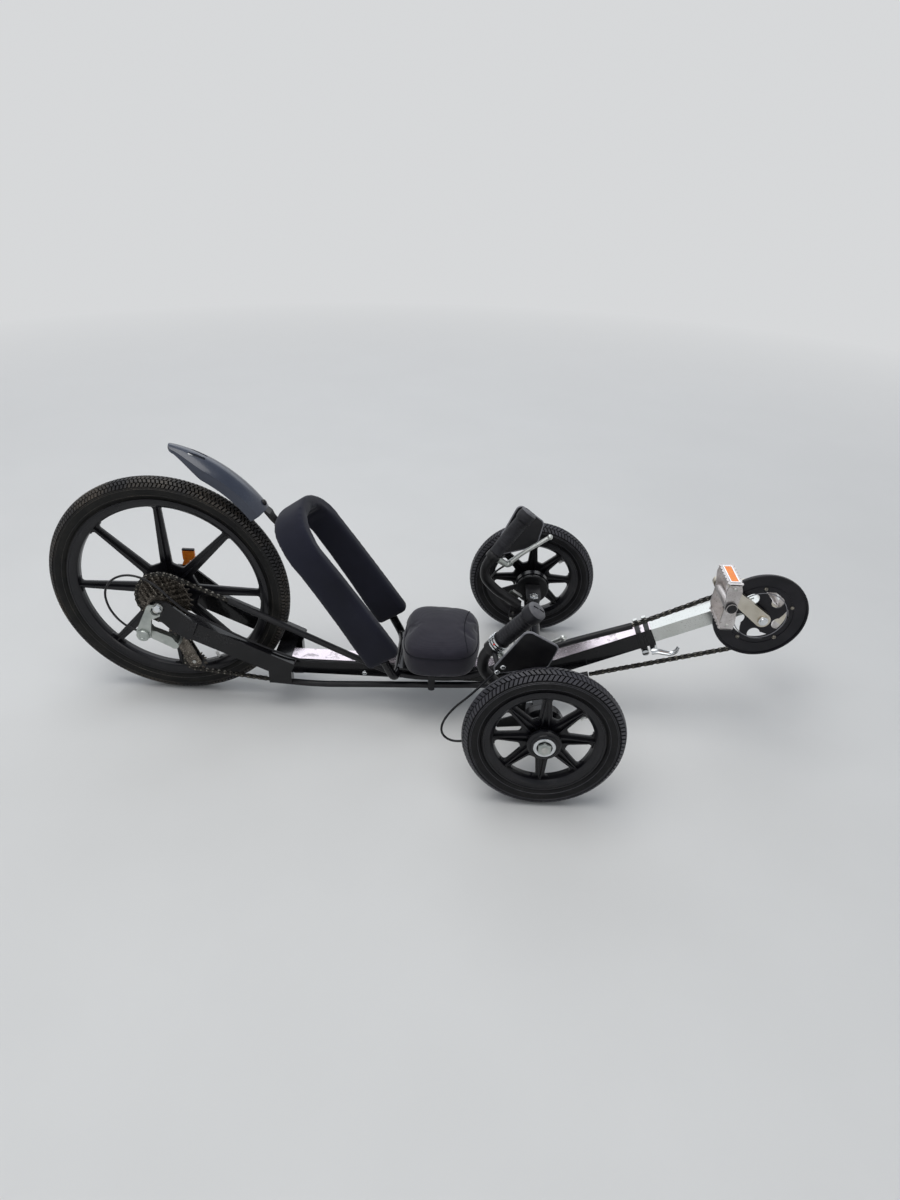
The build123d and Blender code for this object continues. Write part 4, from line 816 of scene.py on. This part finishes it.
# Seam across the cushion's front, in a curve, and the piping round its side
seam = [at(-146.0 - 9.0 * cos(pi * y / 150.0), y, 240.0) for y in range(-78, 79, 4)]
seam_line = laid_on(cushion, [(place, Vector((0, 0, -1))) for place in seam])
welt_middle = at(-202.0, 0, 170.0)
welt = [at(-202.0 + x, y, 170.0) for x, y in cushion_ring(97.0, 118.0, 6.0, 120)]
welt_line = laid_on(cushion, [(place, welt_middle - place) for place in welt])
seams = [(pipe(seam_line, 0.0011, 6), "piping"), (pipe(welt_line + welt_line[:1], 0.0013, 6), "piping")]
piece("cushion_seams", seams, "frame")


# Mudguard: a crowned channel along an arc, with a step where its flange starts and a rounded tip
GUARD_PLACES = [(-550.0, 446.0), (-636.0, 531.0), (-728.0, 569.0)]
GUARD_HALF, GUARD_CROWN, GUARD_DEPTH, GUARD_WALL = 32.0, 14.0, 32.0, 2.0
TIP_TAPER, TIP_RADIUS = 95.0, 17.0
SLOT_AT, SLOT_Y, SLOT_TURN = 58.0, 8.5, 6.0
SLOT_HALF, SLOT_RADIUS = 0.0139, 0.0031


def circle_through(a, b, c):
    """The centre and radius of the circle through three points, worked out with complex numbers."""
    a, b, c = complex(*a), complex(*b), complex(*c)
    w = (c - a) / (b - a)
    centre = a + (b - a) * (w - abs(w) ** 2) / 2j / w.imag
    return (centre.real, centre.imag), abs(a - centre)


guard_centre, guard_radius = circle_through(*GUARD_PLACES)
guard_from, guard_to = (atan2(z - guard_centre[1], x - guard_centre[0]) for x, z in GUARD_PLACES[::2])


def guard_place(distance, y, depth):
    """A place on the mudguard: distance from its tip along the arc, y across, depth below its crown line."""
    x, z = polar(guard_radius - depth, guard_to - distance / guard_radius, *guard_centre)
    return at(x, y, z)


def guard_up(distance):
    return (guard_place(distance, 0, 0) - guard_place(distance, 0, 10)).normalized()


def guard_half_width(distance):
    if distance < TIP_RADIUS:
        return sqrt(max(0.0, TIP_RADIUS ** 2 - (TIP_RADIUS - distance) ** 2))
    share = min(1.0, (distance - TIP_RADIUS) / (TIP_TAPER - TIP_RADIUS))
    return TIP_RADIUS + (GUARD_HALF - TIP_RADIUS) * sin(share * pi / 2)


def guard_section(distance, inset):
    """Places across the mudguard from its right rim over the crown to the left rim."""
    half = max(0.4, guard_half_width(distance) - inset)
    crown = GUARD_CROWN * (guard_half_width(distance) / GUARD_HALF) ** 1.5
    depth = crown + (GUARD_DEPTH - GUARD_CROWN) * min(1.0, (distance + 12.0) / TIP_TAPER)
    flank = [(half, depth), (half, crown + 4.5 + inset), (half - 0.9, crown + 2.6 + inset)]
    across = [(half - 0.9) * sin(pi / 2 * k / 10) for k in range(-10, 11)]
    row = [(-y, d) for y, d in flank] + [(y, inset + crown * (y / (half + inset)) ** 2) for y in across]
    return [guard_place(distance, y, d) for y, d in row + flank[::-1]]


guard_length = (guard_to - guard_from) * guard_radius
stations = [0.3, 1.5, 4.0, 7.5, 12.0, 17.0, 24.0, 32.0] + [guard_length * k / 24 for k in range(4, 25)]
guard_rows = [guard_section(s, 0.0) + guard_section(s, GUARD_WALL)[::-1] for s in stations]
mudguard = piece("mudguard_shell", [(loft(guard_rows), "mudguard_plastic")], "frame", angle=40,
                 replaces=["mudguard"])


def cut(obj, shape):
    """Cuts a closed shape out of a piece."""
    cutter = link(bpy.data.objects.new("cutter", plain_mesh("cutter", shape)))
    taken = obj.modifiers.new("cut", "BOOLEAN")
    taken.operation, taken.solver, taken.object = "DIFFERENCE", "EXACT", cutter
    obj.data = evaluated_mesh(obj)
    bpy.data.objects.remove(cutter)


slot_outline = [polar(sign * SLOT_RADIUS, pi * (k / 8 - 0.5), sign * SLOT_HALF)
                for sign in (1, -1) for k in range(9)]
slot_along = guard_place(SLOT_AT + 2, 0, 0) - guard_place(SLOT_AT - 2, 0, 0)
for side in (-1, 1):
    turned_along = Matrix.Rotation(radians(-SLOT_TURN * side), 4, guard_up(SLOT_AT)) @ slot_along
    cut(mudguard, placed(slab(slot_outline, -0.014, 0.014),
                         stand(guard_place(SLOT_AT, side * SLOT_Y, 0.0), guard_up(SLOT_AT), turned_along)))
bolt_at = guard_length - 12.0
guard_bolt = fitted("black_plastic", bolt_head(6.5, 4.5, dome=True), guard_place(bolt_at, 0, -0.2),
                    guard_up(bolt_at))
piece("mudguard_bolt", [guard_bolt], "frame")


# Boom clamp: two bands round the boom's open end, their skewers, and a quick-release blade
BOOM_TILT = radians(25.0)
BOOM_ALONG = Vector((cos(BOOM_TILT), 0, sin(BOOM_TILT)))
BOOM_ABOVE = Vector((-sin(BOOM_TILT), 0, cos(BOOM_TILT)))
BOOM_END = 237.0
BAND_BACKS = (8.0, 26.5)
SKEWER_BELOW = -30.3


def on_boom(back, y=0.0, above=0.0):
    """A place on the sloping boom, in millimetres: back from its open end, across, and square to its top."""
    x = BOOM_END - back * cos(BOOM_TILT)
    return at(x, y, 81.0 + (x + 20.0) * tan(BOOM_TILT)) + BOOM_ABOVE * above / 1000


band = outline_plate([rounded(rectangle(half, half), radius)
                      for half, radius in ((0.0226, 0.0040), (0.0192, 0.0025))], 0.0105, 0.0006)
ear, tab = box(4.5, 15.0, 14.0, 0.8), box(7.5, 8.5, 10.0, 0.8)
skewer = turned([(0, -25.0), (4.0, -25.0), (7.0, -24.5), (7.2, -20.0), (7.0, -12.5), (3.8, -12.0),
                 (3.8, 12.0), (7.0, 12.5), (7.0, 18.5), (5.0, 20.0), (0, 20.0)], 20)
one_band = [(band, "satin_black"), (placed(ear, Matrix.Translation((-0.009, -0.0297, 0))), "satin_black"),
            (placed(ear, Matrix.Translation((0.009, -0.0297, 0))), "satin_black"),
            (placed(tab, Matrix.Translation((0.018, 0.0258, 0))), "bare_aluminium")]
band_parts, skewer_parts = [], []
for back in BAND_BACKS:
    band_parts += moved(one_band, stand(on_boom(back), BOOM_ALONG, (0, 1, 0)))
    skewer_parts.append(fitted("polished", skewer, on_boom(back, 0.0, SKEWER_BELOW), (0, 1, 0)))
blade_root = on_boom(BAND_BACKS[0], -26.5, SKEWER_BELOW)
blade_path = smooth_path([blade_root + Vector(offset) / 1000 for offset in (
    (-6.0, 0.5, -2.0), (6.0, 0.0, 0.0), (20.0, -0.8, -2.0), (34.0, -1.5, -2.5), (43.0, -2.5, 4.0),
    (46.5, -3.0, 15.0))], 5)
blade_radii = [0.0066 - 0.0001 * k for k in range(len(blade_path))]
skewer_parts.append((pipe(blade_path, blade_radii, 12, 0.42), "polished"))
piece("boom_bands", band_parts, "frame", replaces=["boom_clamp"])
piece("clamp_skewers", skewer_parts, "frame", angle=50)


# Steering: what stands on each knuckle, made for the left side and mirrored for the right one
GRIP_FOOT, GRIP_TOP = at(-94, 182, 272), at(-26, 203, 364)
GRIP_ALONG = (GRIP_TOP - GRIP_FOOT).normalized()
BRAKE_LEVER = [(-66, 190, 240), (-54, 192, 250), (-40, 194, 262), (-20, 196.5, 277), (2, 199, 292),
               (16, 201, 301.5), (26, 202, 308)]
BALL_RADIUS = 6.2
HAND_GUARD = [(-106.0, 238.0), (-44.0, 364.0), (14.0, 324.0), (0.0, 268.0)]
GUARD_LEAN = radians(15.0)
GUARD_OUT = Vector((0, cos(GUARD_LEAN), -sin(GUARD_LEAN)))


def on_grip(surface, shape, height):
    """A part that stands on the handle's axis, at a height in millimetres above the foot of the grip."""
    return fitted(surface, shape, GRIP_FOOT + GRIP_ALONG * height / 1000, GRIP_ALONG)


def on_guard(x, z, out):
    """A place on the hand guard, in the plane that leans outwards."""
    rise = z - HAND_GUARD[0][1]
    return at(x, 226.0 + rise * sin(GUARD_LEAN), 238.0 + rise * cos(GUARD_LEAN)) + GUARD_OUT * out / 1000


# Brake lever: a clamp round the handle, a pivot housing, a flat blade and its ball end
lever_path = smooth_path([at(*point) for point in BRAKE_LEVER], 4)
lever_radii = [0.0068 - 0.0018 * min(1.0, k / 10) for k in range(len(lever_path))]
pivot = lever_path[0]
housing = smooth_path([GRIP_FOOT - GRIP_ALONG * 0.009 + Vector((0.012, 0.002, -0.009)), pivot,
                       pivot + Vector((0.010, 0.001, 0.007))], 4)
clamp = turned([(11.3, 0.5), (15.2, 0.5), (16.0, 2.0), (16.0, 14.0), (15.2, 15.5), (11.3, 15.5)], 40,
               closed=True)
ball = turned([(BALL_RADIUS * sin(pi * k / 12), -BALL_RADIUS * cos(pi * k / 12)) for k in range(13)], 20)
lever = [on_grip("satin_black", clamp, -17.0), (pipe(housing, 0.0072, 14, 0.8), "cast_alloy"),
         fitted("steel", bolt_head(4.2, 3.0), pivot + Vector((-0.002, 0.006, 0.001)), (0, 1, 0)),
         (pipe(lever_path, lever_radii, 14, 0.72), "bare_aluminium"),
         fitted("bare_aluminium", ball, lever_path[-1], (0, 0, 1))]

# Caps over the bolts and nut of a knuckle, painted reflections on its arms as patches of bare metal, and the
# washer outside the hub
washer = turned([(14.5, 28.4), (20.3, 28.4), (20.3, 30.0), (19.5, 30.7), (14.5, 30.7)], 48, closed=True)
nut = placed(bolt_head(13.3, 6.8), Matrix.Translation((0, 0, 0.0303)))
stub = turned([(0, 36.6), (6.2, 36.6), (6.2, 37.8), (5.2, 38.4), (0, 38.4)], 24)
knuckle = moved([(washer, "polished"), (nut, "cast_alloy"), (stub, "steel")], spins["left"])
knuckle += [fitted("polished", bolt_head(10.5, 7.5), at(0, 171, 165.2), (0, 0, 1)),
            fitted("steel", bolt_head(4.5, 1.5, dome=True), at(0, 171, 172.6), (0, 0, 1))]
# Painted reflection: two thin patches of bare metal, on the top and outer faces of the arm, stand in for the
# sky's reflection there
tube_along = Vector((-57.0, 0, 38.0)).normalized()
for across in (Vector((0, 0, 1)), Vector((0, 1, 0))):
    normal = (across - tube_along * across.dot(tube_along)).normalized()
    knuckle.append(fitted("bare_aluminium", box(26.0, 10.0, 1.4, 0.4),
                          at(-43.9, 178, 162.9) + normal * 0.0112, normal, tube_along))

# The grey domed cap of a grip, with its slit as a dark strip of painted shade, and ridges round the rubber
length = (GRIP_TOP - GRIP_FOOT).length * 1000
cap = turned([(19.0, -0.5), (19.0, 0.6), (16.5, 3.0), (10.0, 5.2), (0, 6.0)], 40)
ridge = turned([(15.8, -1.6), (16.65, -0.8), (16.65, 0.8), (15.8, 1.6)], 40)
grip = [on_grip("cap_grey", cap, length), on_grip("painted_groove_shade", box(23.0, 2.2, 1.0, 0.0), length + 5.4)]
grip += [on_grip("grip_rubber", ridge, 30.0 + 7.0 * k) for k in range(9)]

# The pale rim of a hand guard and the two bolts on its lower corner
rim = [on_guard(x, z, 1.5) for x, z in rounded(HAND_GUARD, 12.0, 8)]
hand_guard = [(pipe(rim + rim[:2], 0.0019, 8), "edge_grey")]
hand_guard += [fitted("polished", bolt_head(5.5, 3.5, dome=True), on_guard(x, z, 2.9), GUARD_OUT)
               for x, z in ((-80.0, 262.0), (-90.0, 247.0))]

# Three bright rings and a red mark on the twist shifter's sleeve, below the grip's rubber
sleeve = turned([(15.3, 0.0), (17.6, 0.4), (17.6, 18.0), (15.3, 18.4)], 48, closed=True)
ring = turned([(17.0, 0.0), (18.6, 0.4), (18.6, 3.4), (17.0, 3.8)], 48, closed=True)
around = Vector((-0.55, 0.62, 0.0))
around = (around - GRIP_ALONG * around.dot(GRIP_ALONG)).normalized()
shifter = [on_grip("satin_black", sleeve, 0.0)]
shifter += [on_grip("polished", ring, 0.8 + 6.0 * k) for k in range(3)]
shifter.append(fitted("warning_red", bolt_head(2.2, 1.0, dome=True),
                      GRIP_FOOT + GRIP_ALONG * 0.0102 + around * 0.0183, around))

for name, side in SIDES.items():
    body = f"steer_{name}"
    piece(f"lever_{name}", mirrored(lever, side), body, angle=50, replaces=[f"brake_lever_{name}"])
    piece(f"knuckle_caps_{name}", mirrored(knuckle, side), body)
    piece(f"grip_trim_{name}", mirrored(grip, side), body)
    piece(f"hand_guard_trim_{name}", mirrored(hand_guard, side), body)
piece("shifter_rings", mirrored(shifter, -1), "steer_right")


# Pedals: toothed edge plates with a reflector in each, bolts and a black cap on the spindle's end
PEDAL_PLACES = {"right": (328.5, 362.9), "left": (527.5, 205.1)}
PEDAL_TEETH = 7
PEDAL_HALF = 0.039
tooth = 2 * PEDAL_HALF / PEDAL_TEETH
teeth = [(x, tooth * (k + share) - PEDAL_HALF) for k in range(PEDAL_TEETH)
         for x, share in ((0.0112, 0.0), (0.0142, 0.35), (0.0142, 0.65))] + [(0.0112, PEDAL_HALF)]
edge_plate = slab(teeth + [(-x, y) for x, y in reversed(teeth)], 0, 0.0026, 0.0004)
reflector_rim = outline_plate([rectangle(0.0088, 0.0310), rectangle(0.0064, 0.0282)], 0.0016, 0.0003)
reflector = box(13.0, 56.6, 1.8, 0.4)
spindle_cap = turned([(10.4, -0.8), (10.7, 2.0), (10.4, 5.6), (8.5, 6.8), (0, 7.0)], 32)
edge_parts = [(edge_plate, "pedal_metal"),
              (placed(reflector_rim, Matrix.Translation((0, 0, 0.0030))), "polished"),
              (placed(reflector, Matrix.Translation((0, 0, 0.0028))), "reflector_orange")]
for name, side in SIDES.items():
    x, z = PEDAL_PLACES[name]
    parts = []
    for edge in (-1, 1):
        parts += moved(edge_parts, stand(at(x, 119.0, z + edge * 45.4), (0, 0, edge), (edge, 0, 0)))
    parts.append(fitted("black_plastic", spindle_cap, at(x, 157.6, z), (0, 1, 0)))
    parts += [fitted("steel", bolt_head(3.6, 1.8, dome=True), at(x, 158.0, z + edge * 38.0), (0, 1, 0))
              for edge in (-1, 1)]
    piece(f"pedal_trim_{name}", mirrored(parts, side), f"pedal_{name}")


# Drive: bolts of the crank and the guard disc, pulleys, and the derailleur's caps
def on_right(surface, shape, x, y, z):
    """A part that stands on the right side of the tricycle and faces away from it."""
    return fitted(surface, shape, at(x, y, z), (0, -1, 0))


crank_cap = turned([(0, 5.0), (6.0, 5.0), (6.6, 3.6), (9.2, 3.6), (9.8, 2.4), (9.8, 0)], 32)
crank_parts = [fitted("polished", crank_cap, at(BRACKET_X, side * 70.0, BRACKET_Z), (0, side, 0))
               for side in (-1, 1)]
for k in range(5):
    x, z = polar(61.5, radians(72 * k + 20), BRACKET_X, BRACKET_Z)
    crank_parts.append(on_right("chain_steel", bolt_head(4.2, 3.4, dome=True), x, -51.6, z))
lip = turned([(88.5, 0), (89.0, 2.4), (90.8, 3.0), (91.6, 2.2), (92.0, 0)], 128, closed=True)
# Painted highlight: a pale grey ring where the guard disc's step catches the light
step_highlight_ring = turned([(50.5, 0), (50.7, 1.0), (52.2, 1.0), (52.4, 0)], 96, closed=True)
crank_parts += [on_right("guard_plastic", lip, BRACKET_X, -51.4, BRACKET_Z),
                on_right("edge_grey", step_highlight_ring, BRACKET_X, -51.3, BRACKET_Z)]
piece("crank_fittings", crank_parts, "crank")

PULLEY_TEETH = 11
pulley = slab([polar((PULLEY_RADIUS + reach) / 1000, tau * (k + share) / PULLEY_TEETH)
               for k in range(PULLEY_TEETH)
               for share, reach in ((-0.30, -2.6), (-0.12, 2.08), (0.12, 2.08), (0.30, -2.6))],
              -0.0013, 0.0013, 0.0003)
hub_cap = turned([(0, 8.6), (3.4, 8.6), (4.0, 8.0), (4.0, 6.8), (6.2, 6.8), (6.2, 0)], 24)
knuckle_cap = turned([(12.8, -1.0), (12.8, 3.0), (11.2, 5.0), (6.0, 5.6), (5.0, 4.2), (0, 4.2)], 32)
drive_parts = []
for x, z in PULLEYS:
    drive_parts += [on_right("black_plastic", pulley, x, CHAIN_Y, z),
                    on_right("steel", hub_cap, x, CHAIN_Y, z)]
drive_parts += [on_right("polished", bolt_head(7.5, 5.0), -765, -94.2, 259),
                on_right("cast_alloy", knuckle_cap, -804, -95.0, 193)]
for side in (-1, 1):
    axle_end = at(REAR_AXLE_X, side * 79.0, REAR_RADIUS)
    drive_parts.append(fitted("polished", bolt_head(9.8, 7.4), axle_end, (0, side, 0)))
piece("drive_fittings", drive_parts, "frame")


# Small bolts and beads of weld on the frame
BEAD_RADIUS = 0.0016
# (x, y, z, outwards or inwards) of the bolts on the left side; those on the right one mirror them
FRAME_BOLTS = [(-491, 69, 381, -1), (-367, 19.1, 70, 1), (-281, 19.1, 68, 1)]
frame_parts = [fitted("polished", bolt_head(5.8, 3.6, dome=True), at(x, side * y, z), (0, side * facing, 0))
               for side in (-1, 1) for x, y, z, facing in FRAME_BOLTS]
frame_parts.append(fitted("black_plastic", box(26.0, 6.6, 4.0, 0.6), at(-753, 77, 301.2), (0, 0, 1)))
piece("frame_bolts", frame_parts, "frame")


def weld_bead(path):
    """A bead with the ripples of a weld along a path."""
    fine = smooth_path(path, 6)
    return pipe(fine, [BEAD_RADIUS * (0.85 + 0.3 * (k % 3 == 0)) for k in range(len(fine))], 8)


def bead_round(x, y, z, direction, radius):
    place = stand(at(x, y, z), direction)
    return weld_bead([place @ Vector((*polar(radius, tau * k / 14), 0)) for k in range(15)])


weld_parts = []
for side in (-1, 1):
    stay_foot = [at(x, side * 19.6, 62.2 + 37.6 * (x + 525.0) / 1000.0) for x in range(-521, -500, 5)]
    weld_parts += [(weld_bead(stay_foot), "frame_paint"),
                   (bead_round(0, side * 157.5, 141.0, (0, side, 0.05), 0.0146), "frame_paint"),
                   (bead_round(410.5, side * 16.2, 275.8, (0, side, 0), 0.0050), "bare_aluminium")]
piece("welds", weld_parts, "frame", angle=60)


# Cables: each is one smooth line through its points, in millimetres
CABLE_RADIUS = 2.25
SHIFT_ROUTE = [(-804, -86, 193), (-829, -86, 200), (-853, -86, 220), (-869, -86, 252), (-870, -86, 288),
               (-851, -86, 316), (-819, -86, 329), (-785, -86, 322), (-757, -86, 300), (-735, -86, 272),
               (-713, -80, 244), (-685, -66, 220), (-653, -59, 196), (-605, -57, 168.5), (-555, -56, 145),
               (-519, -54, 128.5), (-486, -42, 109), (-459, -28, 100.5), (-426, -21.85, 97.4),
               (-82, -21.85, 97.4), (-53, -31, 96.8), (-30, -57, 99.5), (-20, -84, 109), (-8, -104, 123)]
RIGHT_ROUTE = [(-66, -190, 240), (-88, -198, 226), (-112, -208, 202), (-138, -218, 177), (-164, -227, 157),
               (-181, -233, 136), (-190, -236, 113), (-186, -238, 94), (-169, -239, 82), (-145, -240, 84),
               (-122, -241, 96), (-101, -241, 113), (-80, -241.5, 135)]
LEFT_ROUTE = [(-66, 190, 240), (-84, 200, 222), (-98, 214, 196), (-104, 228, 168), (-97, 238, 147),
              (-80, 241.5, 135)]


def cable(name, route, body):
    curve = bpy.data.curves.new(name, "CURVE")
    curve.dimensions = "3D"
    curve.bevel_depth, curve.bevel_resolution, curve.resolution_u = CABLE_RADIUS / 1000, 4, 12
    spline = curve.splines.new("NURBS")
    spline.points.add(len(route) - 1)
    for point, place in zip(spline.points, route):
        point.co = (*at(*place), 1)
    spline.order_u = 3
    spline.use_endpoint_u = True
    curve.use_fill_caps = True
    curve.materials.append(MATERIALS["black_plastic"])
    obj = link(bpy.data.objects.new(name, curve))
    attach(obj, body)


cable("shift_cable", SHIFT_ROUTE, "frame")
cable("brake_cable_right", RIGHT_ROUTE, "steer_right")
cable("brake_cable_left", LEFT_ROUTE, "steer_left")


# Backdrop and light: a pale floor that rises into a wall all round
STUDIO_FLOOR, STUDIO_BEND, STUDIO_TOP = 6.0, 4.0, 7.0
EVEN_TONE = (0.68, 0.69, 0.70, 1)
sweep = [(STUDIO_FLOOR * k / 4, 0) for k in range(5)]
sweep += [polar(STUDIO_BEND, pi / 2 * (k / 10 - 1), STUDIO_FLOOR, STUDIO_BEND) for k in range(1, 11)]
sweep.append((STUDIO_FLOOR + STUDIO_BEND, STUDIO_TOP))
studio_mesh = plain_mesh("studio", lathe(sweep, 96))
smooth(studio_mesh)
studio = link(bpy.data.objects.new("studio", studio_mesh))
studio_paint = material("studio", (0.71, 0.71, 0.70), (0.73, 0.73, 0.72), 0.9, 3, 60, 0.02, specular=0.1)
studio_mesh.materials.append(studio_paint)


def blend(tree, factor, first, second, output):
    """Mixes two shaders into an output node."""
    mix = node(tree, "MixShader", "Shader", {"Fac": factor, 1: first, 2: second})
    tree.links.new(mix, tree.nodes[output].inputs["Surface"])


# Far from the object the camera sees one even tone
tree = studio_paint.node_tree
distance = node(tree, "VectorMath", "Value", {0: tree.nodes["Texture Coordinate"].outputs["Object"]},
                operation="LENGTH")
rays = tree.nodes.new("ShaderNodeLightPath")
seen = node(tree, "Math", "Value", {0: rays.outputs["Is Camera Ray"], 1: rays.outputs["Is Glossy Ray"]},
            operation="MAXIMUM")
blend(tree, times(tree, spread(tree, distance, 1.1, 4.2), seen),
      tree.nodes["Principled BSDF"].outputs["BSDF"],
      node(tree, "Emission", "Emission", {"Color": EVEN_TONE}), "Material Output")

world = bpy.data.worlds.new("world")
bpy.context.scene.world = world
world.use_nodes = True
tree = world.node_tree
sky = tree.nodes["Background"]
fill(tree, sky, {"Color": (0.84, 0.90, 1.0, 1), "Strength": 0.42})
blend(tree, node(tree, "LightPath", "Is Camera Ray", {}), sky.outputs["Background"],
      node(tree, "Background", "Background", {"Color": EVEN_TONE}), "World Output")

# Lamps that the camera doesn't see: place, target, width, height, brightness of the face, colour
LAMPS = {
    "back": ((-0.3, 3.2, 2.6), (0, 0, 0.2), 6.0, 1.8, 1.2, (0.90, 0.94, 1.0)),
    "top": ((-0.6, -0.4, 3.4), (0, 0, 0.2), 2.8, 2.8, 2.8, (1.0, 0.99, 0.97)),
    "front": ((1.6, -3.4, 2.0), (0, 0, 0.3), 1.6, 1.2, 1.8, (1.0, 0.98, 0.95)),
}
for name, (place, target, width, height, radiance, color) in LAMPS.items():
    data = bpy.data.lights.new(name, "AREA")
    data.shape = "RECTANGLE"
    data.size, data.size_y, data.color = width, height, color
    data.energy = radiance * pi * width * height
    lamp = link(bpy.data.objects.new(name, data))
    lamp.location = place
    lamp.rotation_euler = (Vector(target) - Vector(place)).to_track_quat("-Z", "Y").to_euler()
    lamp.visible_camera = False
